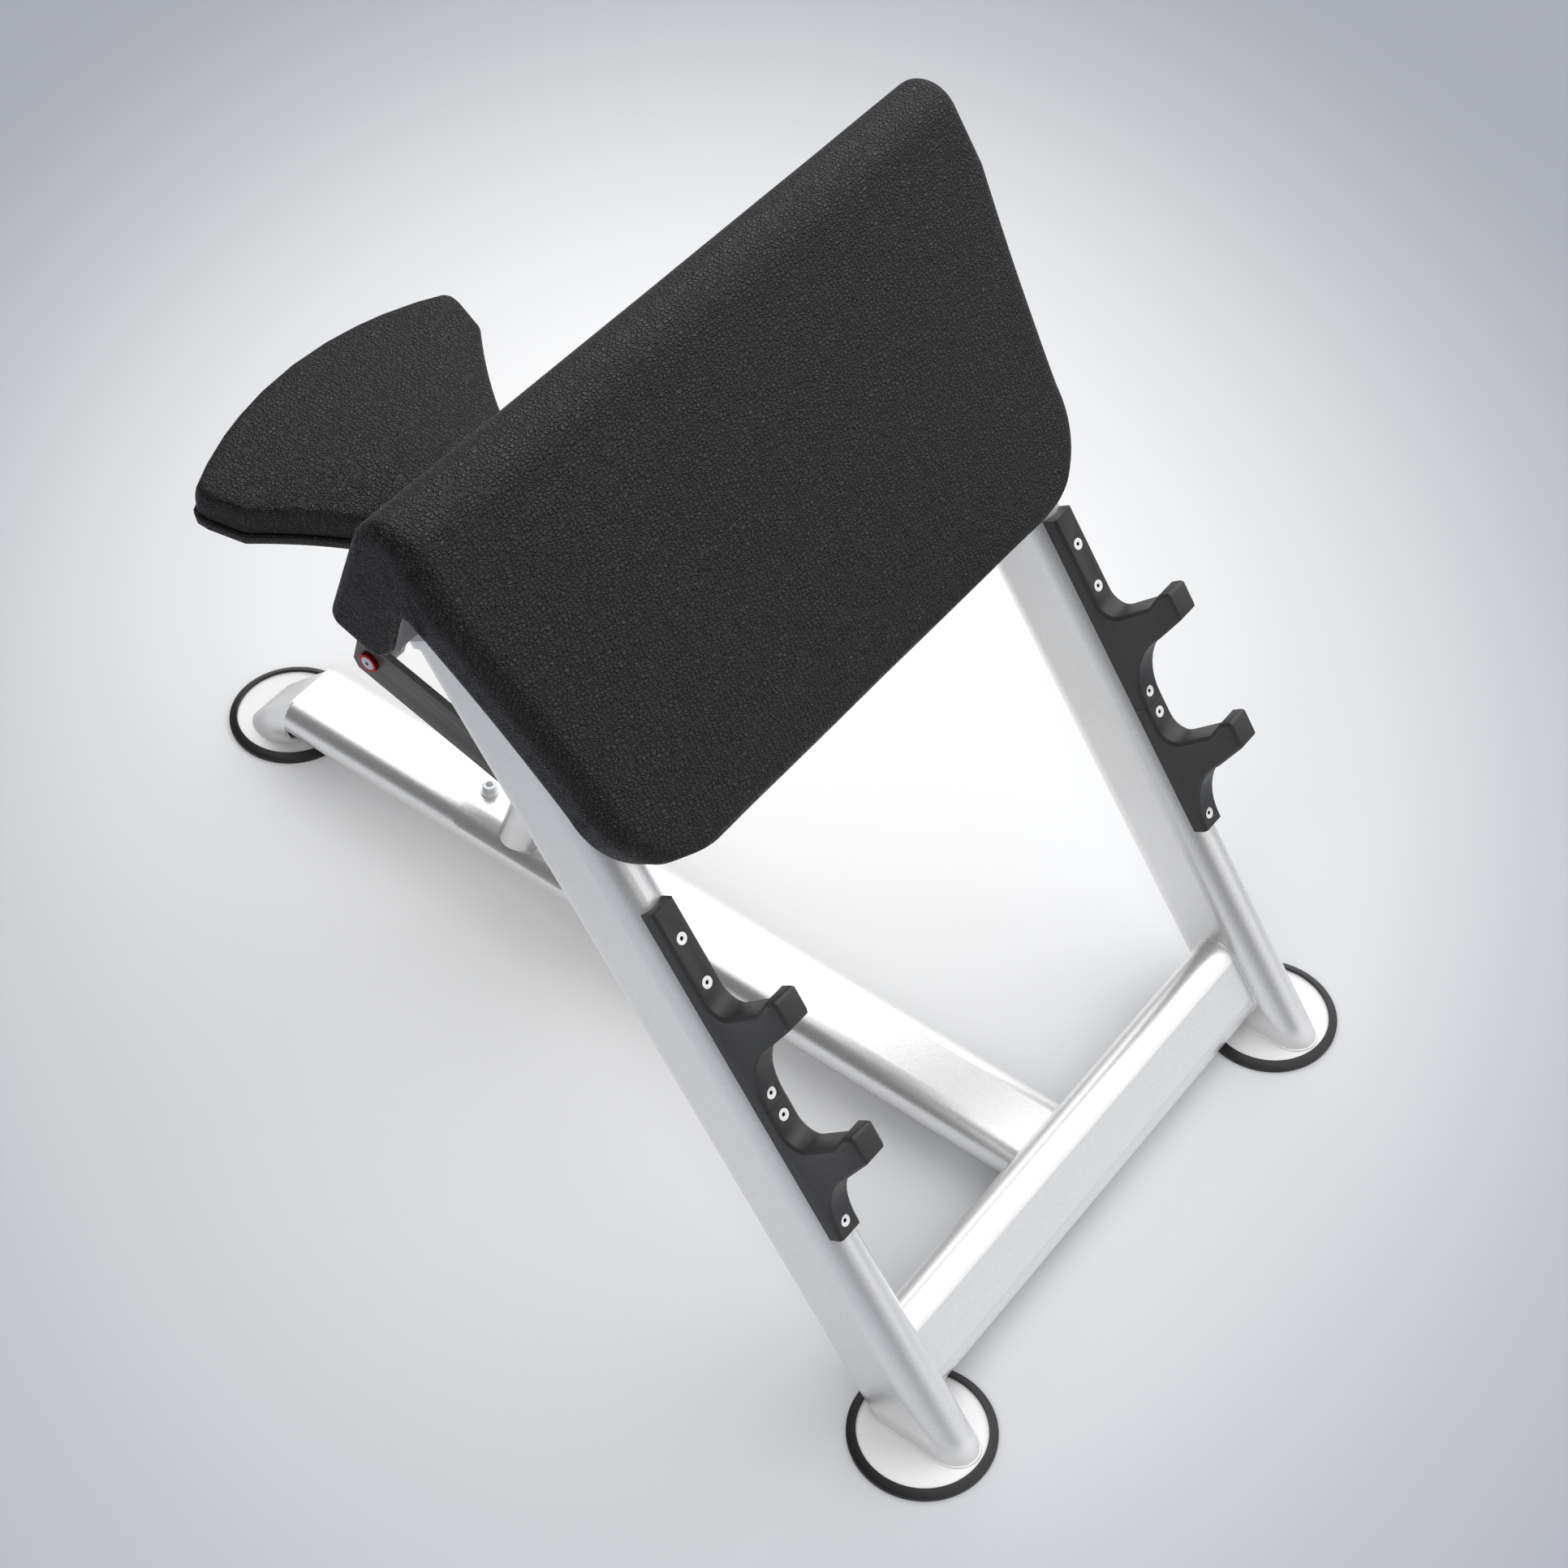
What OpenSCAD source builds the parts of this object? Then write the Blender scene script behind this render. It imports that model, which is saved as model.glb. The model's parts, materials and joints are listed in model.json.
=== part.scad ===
// Preacher curl bench: an inclined arm pad on two legs with bar catches, a base spine on three round
// feet, and a seat carried by two pairs of parallel links on a leaning post.
// X is across the bench, +Y points to the seat, +Z is up; the origin is on the floor at mid length.

/* [Stance] */
// How far a front foot's centre stands outside its leg's centre
foot_out = 5.5; // [0:0.5:12]
// Distance from the front feet line to the rear foot centre
foot_base = 1136; // [1090:2:1240]

/* [Feet] */
// Outer diameter of a rubber foot ring
foot_d = 150; // [130:1:170]
// Height of a rubber foot ring
foot_ring_h = 10.5; // [9:0.5:16]
// Height of the straight outer wall of a foot ring
foot_wall_h = 5; // [3:0.5:8]
// Width of the black band of a foot ring seen from above
foot_band = 9.5; // [7:0.5:14]
// Thickness of a steel foot plate
foot_plate_t = 4; // [3:0.5:6]
// Height of the foot plate's top above the floor
foot_plate_top = 6; // [5:0.5:8]

/* [Frame tubes] */
// Long side of the flat-oval tube
tube_w = 100; // [90:1:110]
// Short side of the flat-oval tube
tube_t = 50; // [44:1:56]
// Wall thickness of the frame tubes
tube_wall = 3; // [2:0.5:5]
// Angle of the legs above the floor
leg_angle = 55.2; // [52:0.2:58]
// Distance between the leg centres
leg_span = 635; // [560:1:700]
// Distance of the leg's top end from the sharp ridge of the arm pad, along the panel
leg_ridge_gap = 194.9; // [185:0.1:220]
// Position of the front crossbar's centre up the leg
crossbar_at = 80.8; // [70:0.5:110]
// Height of the spine tube's centre above the floor
spine_z = 52; // [48:1:70]
// Distance from the rear foot centre to the square end of the spine tube
spine_rear_gap = 38; // [30:1:50]
// Slope of the rear stub below the horizontal
stub_slope = 45; // [40:1:50]

/* [Bar catches] */
// Width of a bar catch across the leg
catch_w = 30; // [24:1:36]
// Thickness of the catch strip in front of the leg
catch_t = 12; // [9:0.5:16]
// Chamfer along the catch's front edges
catch_chamfer = 3; // [1.5:0.5:4]
// Distance between the two cradles up the leg
catch_pitch = 155; // [145:1:175]
// Position of the lowest catch screw up the leg
catch_low = 282; // [260:1:320]
// Distance from a catch piece's lower screw to its cradle screw
catch_screw_gap = 129; // [122:1:135]
// Distance from the cradle screw to the top screw of the upper piece
catch_top_gap = 50; // [44:1:70]
// How far a catch runs past its end screws
catch_end = 14; // [10:1:20]
// Distance from a cradle screw down to where the floor would meet the strip
cradle_drop = 35; // [32:0.5:38]
// Tilt of the cradle floor, rising away from the leg
cradle_tilt = 10.8; // [6:0.2:16]
// Fillet radius of the cradle
cradle_r = 18; // [12:1:22]
// How far the end block of a hook stands out from the leg front
hook_reach = 112; // [100:1:130]
// Length of the end block's top
hook_block = 15; // [12:1:20]
// Length of the ramp from the cradle floor to the end block's top
hook_ramp = 21; // [14:1:26]
// Rise of the end block over the line of the cradle floor
hook_rise = 9; // [6:0.5:14]
// Depth of the hook at its end block
hook_depth = 32; // [26:1:38]
// Radius of the concave sweep under a hook
hook_sweep_r = 86; // [70:1:95]

/* [Catch screws] */
// Head diameter of a countersunk catch screw
csk_head_d = 12; // [10:0.5:13]
// Shank diameter of a catch screw
csk_d = 6; // [5:0.5:8]
// Length of a catch screw
csk_len = 25; // [20:1:35]
// Width across the flats of its hexagon socket
csk_socket = 4; // [3:0.5:5]

/* [Arm pad] */
// How far the arm pad's end stands outside the leg's centre at the ridge
pad_over = 77; // [70:1:100]
// Thickness of the arm pad
pad_t = 58; // [50:1:64]
// Length of the front panel from the sharp ridge to its lower edge
pad_len = 468.5; // [430:1:480]
// Distance from the sharp ridge down to where the sides start to draw in
pad_kink = 143.5; // [120:1:180]
// Inward taper of the pad's sides below that point, as a slope
pad_taper = 0.162; // [0.1:0.005:0.18]
// Corner radius of the panel's lower corners
pad_corner_r = 100; // [80:1:120]
// Edge radius round the pad's front
pad_edge_r = 18; // [15:0.5:24]
// Edge radius round the pad's back and at the two ends of the lip
pad_back_r = 14.5; // [10:0.5:15]
// Edge radius at the two ends of the front panel
pad_end_r = 24; // [12:0.5:26]
// Crown of the front panel
pad_crown = 3; // [0:0.5:8]
// How far the pad's ends are drawn in between their corners
pad_draw = 2; // [0:0.5:4]
// Length of the rear lip along its outer face
lip_len = 212; // [180:1:220]
// Thickness of the rear lip
lip_t = 70; // [58:1:74]
// Lean of the rear lip from the vertical
lip_lean = 18.5; // [10:0.5:25]
// Radius of the ridge
ridge_r = 42; // [30:1:48]
// Thickness of the board inside the pad
pad_board_t = 12; // [9:1:18]
// Distance of the board's edge from the pad's edge
pad_board_inset = 13; // [13:1:30]

/* [Pad fixing] */
// Diameter of a pad bolt
pad_bolt_d = 8; // [6:1:10]
// Distance from the arm pad's lower edge up to its lower bolts
pad_bolt_from_low = 53.6; // [45:0.1:90]
// Distance from the leg's top end down to the pad's upper bolts
pad_bolt_from_top = 60; // [40:1:90]
// Thickness of the closing plate on a leg's top end
leg_plate_t = 8; // [5:1:12]
// How far that plate stands out behind the leg
leg_plate_over = 8; // [4:1:12]

/* [Seat post] */
// Distance from the front feet line to the post's centre on the saddle
post_y = 760; // [740:1:780]
// Forward lean of the post from the vertical
post_lean = 18; // [12:0.5:24]
// Length of the post along its axis
post_len = 312; // [300:1:340]
// Distance up the post to the lower pivot
pivot_low = 142; // [130:1:160]
// Distance between the lower and the upper pivots
pivot_gap = 125; // [110:1:135]
// Thickness of the saddle plate
saddle_t = 5; // [4:0.5:8]
// Length of the saddle plate
saddle_len = 163; // [150:1:190]
// Depth of the saddle's side flaps below its top
saddle_drop = 16; // [12:1:24]
// Head diameter of a saddle bolt
bolt_head_d = 16; // [15:0.5:18]
// Shank diameter of a saddle bolt
bolt_d = 10; // [8:1:12]

/* [Links] */
// Length of a link between its pivots
link_len = 224; // [200:1:240]
// Slope of the links at rest, rising to the seat
link_angle = 15.2; // [0:0.2:20]
// Width of a link plate
link_w = 53; // [46:1:60]
// Thickness of a link plate
link_t = 8; // [6:0.5:10]
// Length of a link plate past its pivots
link_end = 22; // [20:1:30]
// Corner chamfer of a link plate
link_chamfer = 9.5; // [6:0.5:14]
// Diameter of a pivot pin
pin_d = 16; // [12:1:20]
// Outer diameter of a pivot tube
hub_d = 32; // [28:1:36]
// Diameter of the red ring round a pivot cap
cap_d = 24; // [22:1:32]
// Width of that ring
cap_ring_w = 3; // [2:0.5:4]
// Height of a pivot cap over its link plate
cap_h = 5.5; // [3:0.5:7]

/* [Seat] */
// Height of the seat's top edge over the floor at its widest side corner
seat_z = 574; // [560:1:600]
// Distance from the front feet line to that corner
seat_y = 957; // [940:1:975]
// Upward tilt of the seat to the rear
seat_tilt = 8.5; // [0:0.5:12]
// Width of the seat
seat_w = 384; // [350:2:420]
// Length of the seat from that corner to the rear edge
seat_rear = 106; // [95:1:120]
// Length of the seat from that corner to its nose
seat_front = 208; // [190:1:230]
// Width of the seat's nose
seat_nose_w = 158; // [130:2:170]
// Thickness of the seat cushion
seat_pad_t = 38; // [30:1:44]
// Thickness of the seat's base shell
seat_board_t = 16.5; // [12:1:20]
// Crown of the seat cushion
seat_crown = 5; // [0:0.5:10]
// Width of the seat plate
seat_plate_w = 110; // [90:1:130]
// Length of the seat plate
seat_plate_l = 150; // [130:1:180]
// Thickness of the seat plate
seat_plate_t = 6; // [4:0.5:8]

/* [Carriage] */
// Width of a carriage plate
carriage_w = 60; // [50:1:70]
// Thickness of a carriage plate
carriage_t = 8; // [6:0.5:10]
// Free width between the two carriage plates
carriage_gap = 44; // [40:1:50]

/* [Gas spring] */
// Outer diameter of the gas spring's cylinder
spring_d = 22; // [18:1:22]
// Diameter of its rod
spring_rod_d = 8; // [6:1:10]
// Distance of its lower pivot behind the post's axis
spring_back = 45; // [42:1:52]
// Distance of its upper pivot from the lower rear pivot, up the carriage
spring_up = 90; // [80:1:95]
// Diameter of its two pivot pins
spring_pin_d = 8; // [6:1:8]
// Play of the rod's eye round its pin
spring_play = 5.5; // [5:0.5:7]

/* [Release lever] */
// Distance of the lever's pivot from the lower rear pivot, up the carriage
lever_up = 178; // [170:1:190]
// Length of the lever's arm
lever_len = 80; // [60:1:100]
// Length of the lever's cross bar and grip
lever_bar = 150; // [120:1:180]
// Diameter of the lever's grip
grip_d = 22; // [18:1:26]

/* [Hidden] */
fine = 48;
side_left = -1;
side_right = 1;
// Gap between a soft or painted piece and the steel that it lies on
seat_gap = 0.3;
// Radial running clearance of a pin in its bush
run_gap = 0.05;
// Radial clearance of a bolt in a plain hole
hole_gap = 0.3;
// Oversize that lets a cut run clear of the surface that it leaves
over = 1;
// Larger than the whole bench
far = 3000;

foot_r = foot_d / 2;
foot_lip_r = foot_r - foot_band;
foot_plate_r = foot_lip_r + 4.5;
foot_hole_r = foot_lip_r - 5;

leg_x = leg_span / 2;
front_foot_x = leg_x + foot_out;
pad_half = leg_x + pad_over;
leg_n = foot_plate_top * cos(leg_angle);
leg_front_n = leg_n + tube_w / 2;
leg_round_n = leg_front_n - tube_t / 2;
spine_end_y = foot_base - spine_rear_gap;
spine_top_z = spine_z + tube_t / 2;

strip_n = leg_front_n + catch_t;
catch_seam = catch_low + (catch_screw_gap + catch_pitch) / 2;
catch_bottom = catch_low - catch_end;
catch_top_screw = catch_low + catch_screw_gap + catch_pitch + catch_top_gap;
catch_gap = 0.4;
// How far the sweep under a hook carries outwards, as a share of its radius
hook_sweep_out = 0.68;
catch_screws = [
    catch_low, catch_low + catch_screw_gap, catch_low + catch_pitch,
    catch_low + catch_screw_gap + catch_pitch, catch_top_screw
];
// The upper piece runs further past its top screw, up to just below the pad
catch_top = catch_top_screw + 2.6 * catch_end;

pad_back_n = leg_front_n + seat_gap;
pad_front_n = pad_back_n + pad_t;
// Slope of the lip's outer face, as the angle of its downward direction from straight down
lip_dir = [sin(lip_lean), -cos(lip_lean)];
lip_out = [cos(lip_lean), sin(lip_lean)];
panel_dir = [-cos(leg_angle), -sin(leg_angle)];
panel_out = [-sin(leg_angle), cos(leg_angle)];
// Angle between the panel and the lip at the ridge
wedge = 90 - leg_angle + lip_lean;
pad_catch_gap = 24;
pad_low = catch_top + pad_catch_gap;
ridge_s = pad_low + pad_len;
leg_top = ridge_s - leg_ridge_gap;
pad_bolt_low = pad_low + pad_bolt_from_low;
pad_bolt_high = leg_top - pad_bolt_from_top;
ridge = ridge_s * [cos(leg_angle), sin(leg_angle)] + pad_front_n * panel_out;
wedge_dir = (panel_dir + lip_dir) / norm(panel_dir + lip_dir);
// The point inside the ridge at depth a under the panel's face and depth b under the lip's face
function under_ridge(a, b) = ridge + (b * panel_dir + a * lip_dir) / sin(wedge);

saddle_top_z = spine_top_z + saddle_t;
post_dir = [-sin(post_lean), cos(post_lean)];
post_back = [cos(post_lean), sin(post_lean)];
post_foot = [post_y, saddle_top_z];
saddle_front_y = post_y - saddle_len / 2;
saddle_bolt_y = [saddle_front_y + 13, saddle_front_y + saddle_len - 13];

link_dir = [cos(link_angle), sin(link_angle)];
front_low = post_foot + pivot_low * post_dir;
front_high = front_low + pivot_gap * post_dir;
rear_low = front_low + link_len * link_dir;
rear_high = rear_low + pivot_gap * post_dir;
hub_half = tube_w / 2 + 0.2;
bush_flange = 1;
link_in = hub_half + bush_flange + seat_gap;
link_out = link_in + link_t;
bush_d = pin_d + 4;

seat_total_t = seat_pad_t + seat_board_t;
spring_foot = front_low + spring_back * post_back;
spring_head = rear_low + spring_up * post_dir;
spring_span = norm(spring_head - spring_foot);
spring_dir = (spring_head - spring_foot) / spring_span;
spring_ear_w = 16;
lever_pivot = rear_low + lever_up * post_dir;

// Moves the bench from the front feet line to its mid length
module bench() {
    translate([0, -foot_base / 2, 0]) children();
}

// Frame of the legs: X across, Y up the leg, Z out of the leg's front
module leg_frame() {
    rotate([leg_angle, 0, 0]) children();
}

// Turns an outline drawn in the length and height plane into a slab centred on X
module across(width) {
    rotate([90, 0, 90]) linear_extrude(width, center = true) children();
}

// A round bar along X through a point of the length and height plane
module bar_x(at, from, to, d) {
    translate([from, at[0], at[1]]) rotate([0, 90, 0]) cylinder(d = d, h = to - from, $fn = fine);
}

module flat_oval(long, short) {
    square([long - short, short], center = true);
    for (side = [-1, 1]) translate([side * (long - short) / 2, 0]) circle(d = short, $fn = fine);
}

module rounded_rect(size, r) {
    square([size[0] - 2 * r, size[1]], center = true);
    square([size[0], size[1] - 2 * r], center = true);
    for (i = [-1, 1], j = [-1, 1])
        translate([i * (size[0] / 2 - r), j * (size[1] / 2 - r)]) circle(r, $fn = fine);
}

module below(z) {
    translate([-far / 2, -far / 2, z - far]) cube(far);
}

// Feet

module foot_ring(x, y) {
    color("#262626") translate([x, y, 0]) rotate_extrude($fn = 96) polygon([
        [foot_hole_r, 0], [foot_r - 1, 0], [foot_r, 1], [foot_r, foot_wall_h],
        [foot_lip_r + 1, foot_ring_h], [foot_lip_r, foot_ring_h - 0.6], [foot_lip_r, foot_plate_top],
        [foot_plate_r, foot_plate_top], [foot_plate_r, foot_plate_top - foot_plate_t],
        [foot_hole_r, foot_plate_top - foot_plate_t]
    ]);
}

module foot_plate(x, y) {
    color("#dcdcdc") translate([x, y, foot_plate_top - foot_plate_t])
        cylinder(r = foot_plate_r, h = foot_plate_t, $fn = 96);
}

// Frame

module leg_blank(side, inset) {
    leg_frame() translate([side * leg_x, -tube_w, leg_n]) rotate([-90, 0, 0])
        linear_extrude(leg_top + tube_w) rotate(90)
            flat_oval(tube_w - 2 * inset, tube_t - 2 * inset);
}

module leg_drill(side, s, d, from_n, to_n) {
    leg_frame() translate([side * leg_x, s, from_n]) cylinder(d = d, h = to_n - from_n, $fn = fine);
}

module leg(side) {
    color("#dedede") difference() {
        leg_blank(side, 0);
        leg_blank(side, tube_wall);
        below(foot_plate_top);
        for (s = catch_screws) leg_drill(side, s, csk_d + 2 * hole_gap, leg_n, leg_front_n + over);
        for (s = [pad_bolt_low, pad_bolt_high])
            leg_drill(side, s, pad_bolt_d + 2 * hole_gap, leg_n - tube_w, leg_front_n + over);
    }
}

module leg_top_plate(side) {
    color("#dedede") leg_frame()
        translate([side * leg_x, leg_top, leg_n - leg_plate_over / 2]) rotate([-90, 0, 0])
            linear_extrude(leg_plate_t) rotate(90) flat_oval(tube_w + leg_plate_over, tube_t);
}

module crossbar_blank(inset, extra) {
    leg_frame() translate([0, crossbar_at, leg_n]) rotate([0, 90, 0])
        linear_extrude(leg_span - tube_t + extra, center = true) rotate(90)
            flat_oval(tube_w - 2 * inset, tube_t - 2 * inset);
}

module front_crossbar() {
    color("#dedede") difference() {
        crossbar_blank(0, 0);
        crossbar_blank(tube_wall, over);
    }
}

module spine_blank(inset, rear_y) {
    translate([0, 0, spine_z]) rotate([-90, 0, 0]) linear_extrude(rear_y)
        flat_oval(tube_w - 2 * inset, tube_t - 2 * inset);
}

module base_spine() {
    color("#dedede") difference() {
        spine_blank(0, spine_end_y);
        spine_blank(tube_wall, spine_end_y + over);
        crossbar_blank(0, 0);
        translate([0, -far / 2 + crossbar_at * cos(leg_angle), 0]) cube(far, center = true);
        for (y = saddle_bolt_y) translate([0, y, spine_z])
            cylinder(d = bolt_d + 2 * hole_gap, h = tube_w, $fn = fine);
    }
}

module stub_blank(inset) {
    translate([0, foot_base, foot_plate_top]) rotate([90 - stub_slope, 0, 0])
        linear_extrude(2 * tube_w, center = true)
            flat_oval(tube_w - 2 * inset, tube_t - 2 * inset);
}

module rear_stub() {
    color("#dedede") difference() {
        stub_blank(0);
        stub_blank(tube_wall);
        below(foot_plate_top);
        translate([-far / 2, spine_end_y - far, spine_z - tube_t / 2]) cube(far);
        translate([-far / 2, -far / 2, spine_top_z]) cube(far);
    }
}

// Bar catches

function unit(v) = v / norm(v);

// Points of an arc round c, from one angle to another
function arc(c, r, from, to, steps) = [
    for (i = [0 : steps]) c + r * [cos(from + (to - from) * i / steps), sin(from + (to - from) * i / steps)]
];

// Moves each inner point of an open line sideways by d, and its two ends straight back
function inset_line(pts, d) = [
    for (i = [0 : len(pts) - 1])
        i == 0 || i == len(pts) - 1 ? pts[i] - [0, d] :
        let (a = unit(pts[i] - pts[i - 1]), b = unit(pts[i + 1] - pts[i]))
        pts[i] + d * [a[1] + b[1], -a[0] - b[0]] / (1 + a * b)
];

// Front line of a catch piece from its lower to its upper end: [up the leg, out of the leg]
function catch_line(low, bottom, top) =
    let (
        cradle = low + catch_screw_gap,
        front = leg_front_n + hook_reach,
        sweep = low - csk_head_d,
        // The sweep ends where the hook's straight underside starts
        sweep_end = acos(1 - hook_sweep_out),
        floor_s = cradle - cradle_drop,
        fillet = [floor_s + cradle_r * (1 + sin(cradle_tilt)) / cos(cradle_tilt), strip_n + cradle_r],
        block_top = floor_s + (front - strip_n) * tan(cradle_tilt) + hook_rise,
        ramp_n = front - hook_block - hook_ramp,
        edge = 4 / 3 * catch_chamfer
    )
    concat(
        [[bottom, strip_n]],
        arc([sweep, strip_n + hook_sweep_r], hook_sweep_r, -90, -90 + sweep_end, 10),
        arc([block_top - hook_depth + edge, front - edge], edge, 150, 90, 3),
        arc([block_top - edge, front - edge], edge, 90, 0, 4),
        [[block_top - catch_chamfer / 3, front - hook_block]],
        [[floor_s + (ramp_n - strip_n) * tan(cradle_tilt), ramp_n]],
        arc(fillet, cradle_r, 180 - cradle_tilt, 270, 8),
        [[top, strip_n]]
    );

// A slab with that front line, chamfered along it on both sides
module catch_blank(line) {
    back = leg_front_n - tube_t / 4;
    close = function(pts) concat(pts, [[pts[len(pts) - 1][0], back], [pts[0][0], back]]);
    full = close(line);
    slim = close(inset_line(line, catch_chamfer));
    n = len(full);
    rows = [
        [-catch_w / 2, slim], [-catch_w / 2 + catch_chamfer, full],
        [catch_w / 2 - catch_chamfer, full], [catch_w / 2, slim]
    ];
    polyhedron(
        points = [for (row = rows, p = row[1]) [row[0], p[0], p[1]]],
        faces = concat(
            [[for (i = [n - 1 : -1 : 0]) i]],
            [for (k = [0 : 2], i = [0 : n - 1]) each let (j = (i + 1) % n, a = k * n) [
                [a + i, a + n + j, a + n + i],
                [a + i, a + j, a + n + j]
            ]],
            [[for (i = [0 : n - 1]) 3 * n + i]]
        )
    );
}

module screw_place(side, s) {
    leg_frame() translate([side * leg_x, s, strip_n]) children();
}

// One catch piece with its screw holes; its back is hollowed to the round front of the leg
module catch_piece(side, line, screws) {
    difference() {
        leg_frame() translate([side * leg_x, 0, 0]) catch_blank(line);
        leg_cutter(side);
        for (s = screws) screw_place(side, s) {
            translate([0, 0, -csk_len - over])
                cylinder(d = csk_d + 2 * hole_gap, h = csk_len + over, $fn = fine);
            translate([0, 0, -(csk_head_d - csk_d) / 2]) cylinder(
                d1 = csk_d + 2 * hole_gap, d2 = csk_head_d + 2 * hole_gap,
                h = (csk_head_d - csk_d) / 2 + 0.01, $fn = fine
            );
            // Counterbore down to the heads where the front line rises towards a hook
            cylinder(d = csk_head_d + 2 * hole_gap, h = csk_head_d / 2, $fn = fine);
        }
    }
}

// The leg's outside, a hair larger, as the cutter for what seats on it
module leg_cutter(side) {
    leg_blank(side, -0.1);
}

module upper_catch(side) {
    low = catch_low + catch_pitch;
    color("#383838") catch_piece(
        side, catch_line(low, catch_seam + catch_gap / 2, catch_top),
        [low, low + catch_screw_gap, catch_top_screw]
    );
}

module lower_catch(side) {
    color("#383838") catch_piece(
        side, catch_line(catch_low, catch_bottom, catch_seam - catch_gap / 2),
        [catch_low, catch_low + catch_screw_gap]
    );
}

module csk_screw() {
    head_h = (csk_head_d - csk_d) / 2;
    difference() {
        union() {
            translate([0, 0, -head_h]) cylinder(d1 = csk_d, d2 = csk_head_d, h = head_h, $fn = fine);
            translate([0, 0, -csk_len]) cylinder(d = csk_d, h = csk_len - head_h, $fn = fine);
        }
        translate([0, 0, -0.8 * head_h]) cylinder(d = csk_socket / cos(30), h = head_h, $fn = 6);
    }
}

module screws_of_leg(side) {
    color("white") for (s = catch_screws) screw_place(side, s) csk_screw();
}

// Arm pad

function on_panel(s, n) = s * [cos(leg_angle), sin(leg_angle)] + n * panel_out;
function on_lip(t, depth) = ridge + t * lip_dir - depth * lip_out;

kink_s = ridge_s - pad_kink;
pad_corner_s = pad_low + pad_corner_r;
pad_fillet = 8;
// How much sooner the pad's back side starts to draw in than its front
pad_back_short = 14;
// Where the lip's inner face leaves the fillet inside the ridge
lip_inner_top = (under_ridge(pad_t + pad_fillet, lip_t + pad_fillet) - ridge) * lip_dir;

// Half width of the pad at a place up the panel
function pad_half_at(s) =
    let (
        t = min(s, kink_s),
        drawn = t > pad_corner_s ? pad_draw * sin(180 * (t - pad_corner_s) / (kink_s - pad_corner_s)) : 0,
        straight = pad_half - pad_taper * (kink_s - max(t, pad_corner_s)) - drawn,
        d = max(0, pad_corner_s - t)
    )
    straight - pad_corner_r + sqrt(max(0, pad_corner_r * pad_corner_r - d * d));

// Stations of the section, each [place, outward normal, half width, crown share, end radius]:
// the front side
function pad_front_line() = concat(
    [for (a = [0 : 22.5 : 90])
        let (s = pad_low + pad_edge_r * (1 - cos(a)))
        [on_panel(s, pad_front_n - pad_edge_r * (1 - sin(a))),
            -cos(a) * on_panel(1, 0) + sin(a) * panel_out, pad_half_at(s), 0, pad_end_r]],
    [for (s = panel_stations())
        [on_panel(s, pad_front_n), panel_out, pad_half_at(s), sin(180 * (s - pad_low) / pad_len), pad_end_r]],
    [for (j = [0 : 6])
        let (f = 90 + leg_angle - j * (180 - wedge) / 6)
        [ridge + ridge_r / sin(wedge / 2) * wedge_dir + ridge_r * [cos(f), sin(f)], [cos(f), sin(f)],
            pad_half, 0, pad_end_r + (pad_back_r - pad_end_r) * j / 6]],
    [for (t = [0.25, 0.75])
        [on_lip(ridge_r / tan(wedge / 2) * (1 - t) + (lip_len - pad_edge_r) * t, 0), lip_out,
            pad_half, 0, pad_back_r]],
    [for (a = [0 : 22.5 : 90])
        [on_lip(lip_len - pad_edge_r * (1 - sin(a)), pad_edge_r * (1 - cos(a))),
            cos(a) * lip_out + sin(a) * lip_dir, pad_half, 0, pad_back_r]]
);

// The same stations on the back side
function pad_back_line() = concat(
    [for (a = [0 : 22.5 : 90])
        let (s = pad_low + pad_back_r * (1 - cos(a)))
        [on_panel(s, pad_back_n + pad_back_r * (1 - sin(a))),
            -cos(a) * on_panel(1, 0) - sin(a) * panel_out, pad_half_at(s), 0, pad_back_r]],
    [for (s = panel_stations())
        let (t = s - pad_back_short * (s - pad_low) / (kink_s - pad_low))
        [on_panel(t, pad_back_n), -panel_out, pad_half_at(t), 0, pad_back_r]],
    [for (j = [0 : 6])
        let (f = 90 + leg_angle - j * (180 - wedge) / 6)
        [under_ridge(pad_t + pad_fillet, lip_t + pad_fillet) + pad_fillet * [cos(f), sin(f)],
            -[cos(f), sin(f)], pad_half, 0, pad_back_r]],
    [for (t = [0.25, 0.75])
        [on_lip(lip_inner_top * (1 - t) + (lip_len - pad_edge_r) * t, lip_t), -lip_out,
            pad_half, 0, pad_back_r]],
    [for (a = [0 : 22.5 : 90])
        [on_lip(lip_len - pad_edge_r * (1 - sin(a)), lip_t - pad_edge_r * (1 - cos(a))),
            -cos(a) * lip_out + sin(a) * lip_dir, pad_half, 0, pad_back_r]]
);

function panel_stations() = concat(
    [for (k = [0.35, 0.6, 0.8, 1]) pad_low + k * pad_corner_r],
    [for (k = [1 : 3]) pad_corner_s + (kink_s - pad_corner_s) * k / 3]
);

// Stations across the pad, each [share of the inner half width, angle round the end edge]
pad_across = concat(
    [for (b = [90 : -30 : 0]) [-1, b]],
    [for (u = [-0.8, -0.5, -0.18, 0.18, 0.5, 0.8]) [u, 0]],
    [for (b = [0 : 30 : 90]) [1, b]]
);

function pad_ring(stations, u, b) = [
    for (q = stations)
        let (
            r = q[4],
            x = u * (q[2] - r + r * sin(b)),
            p = q[0] + (q[3] * pad_crown * (1 - u * u) - r * (1 - cos(b))) * q[1]
        )
        [x, p[0], p[1]]
];

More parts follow.
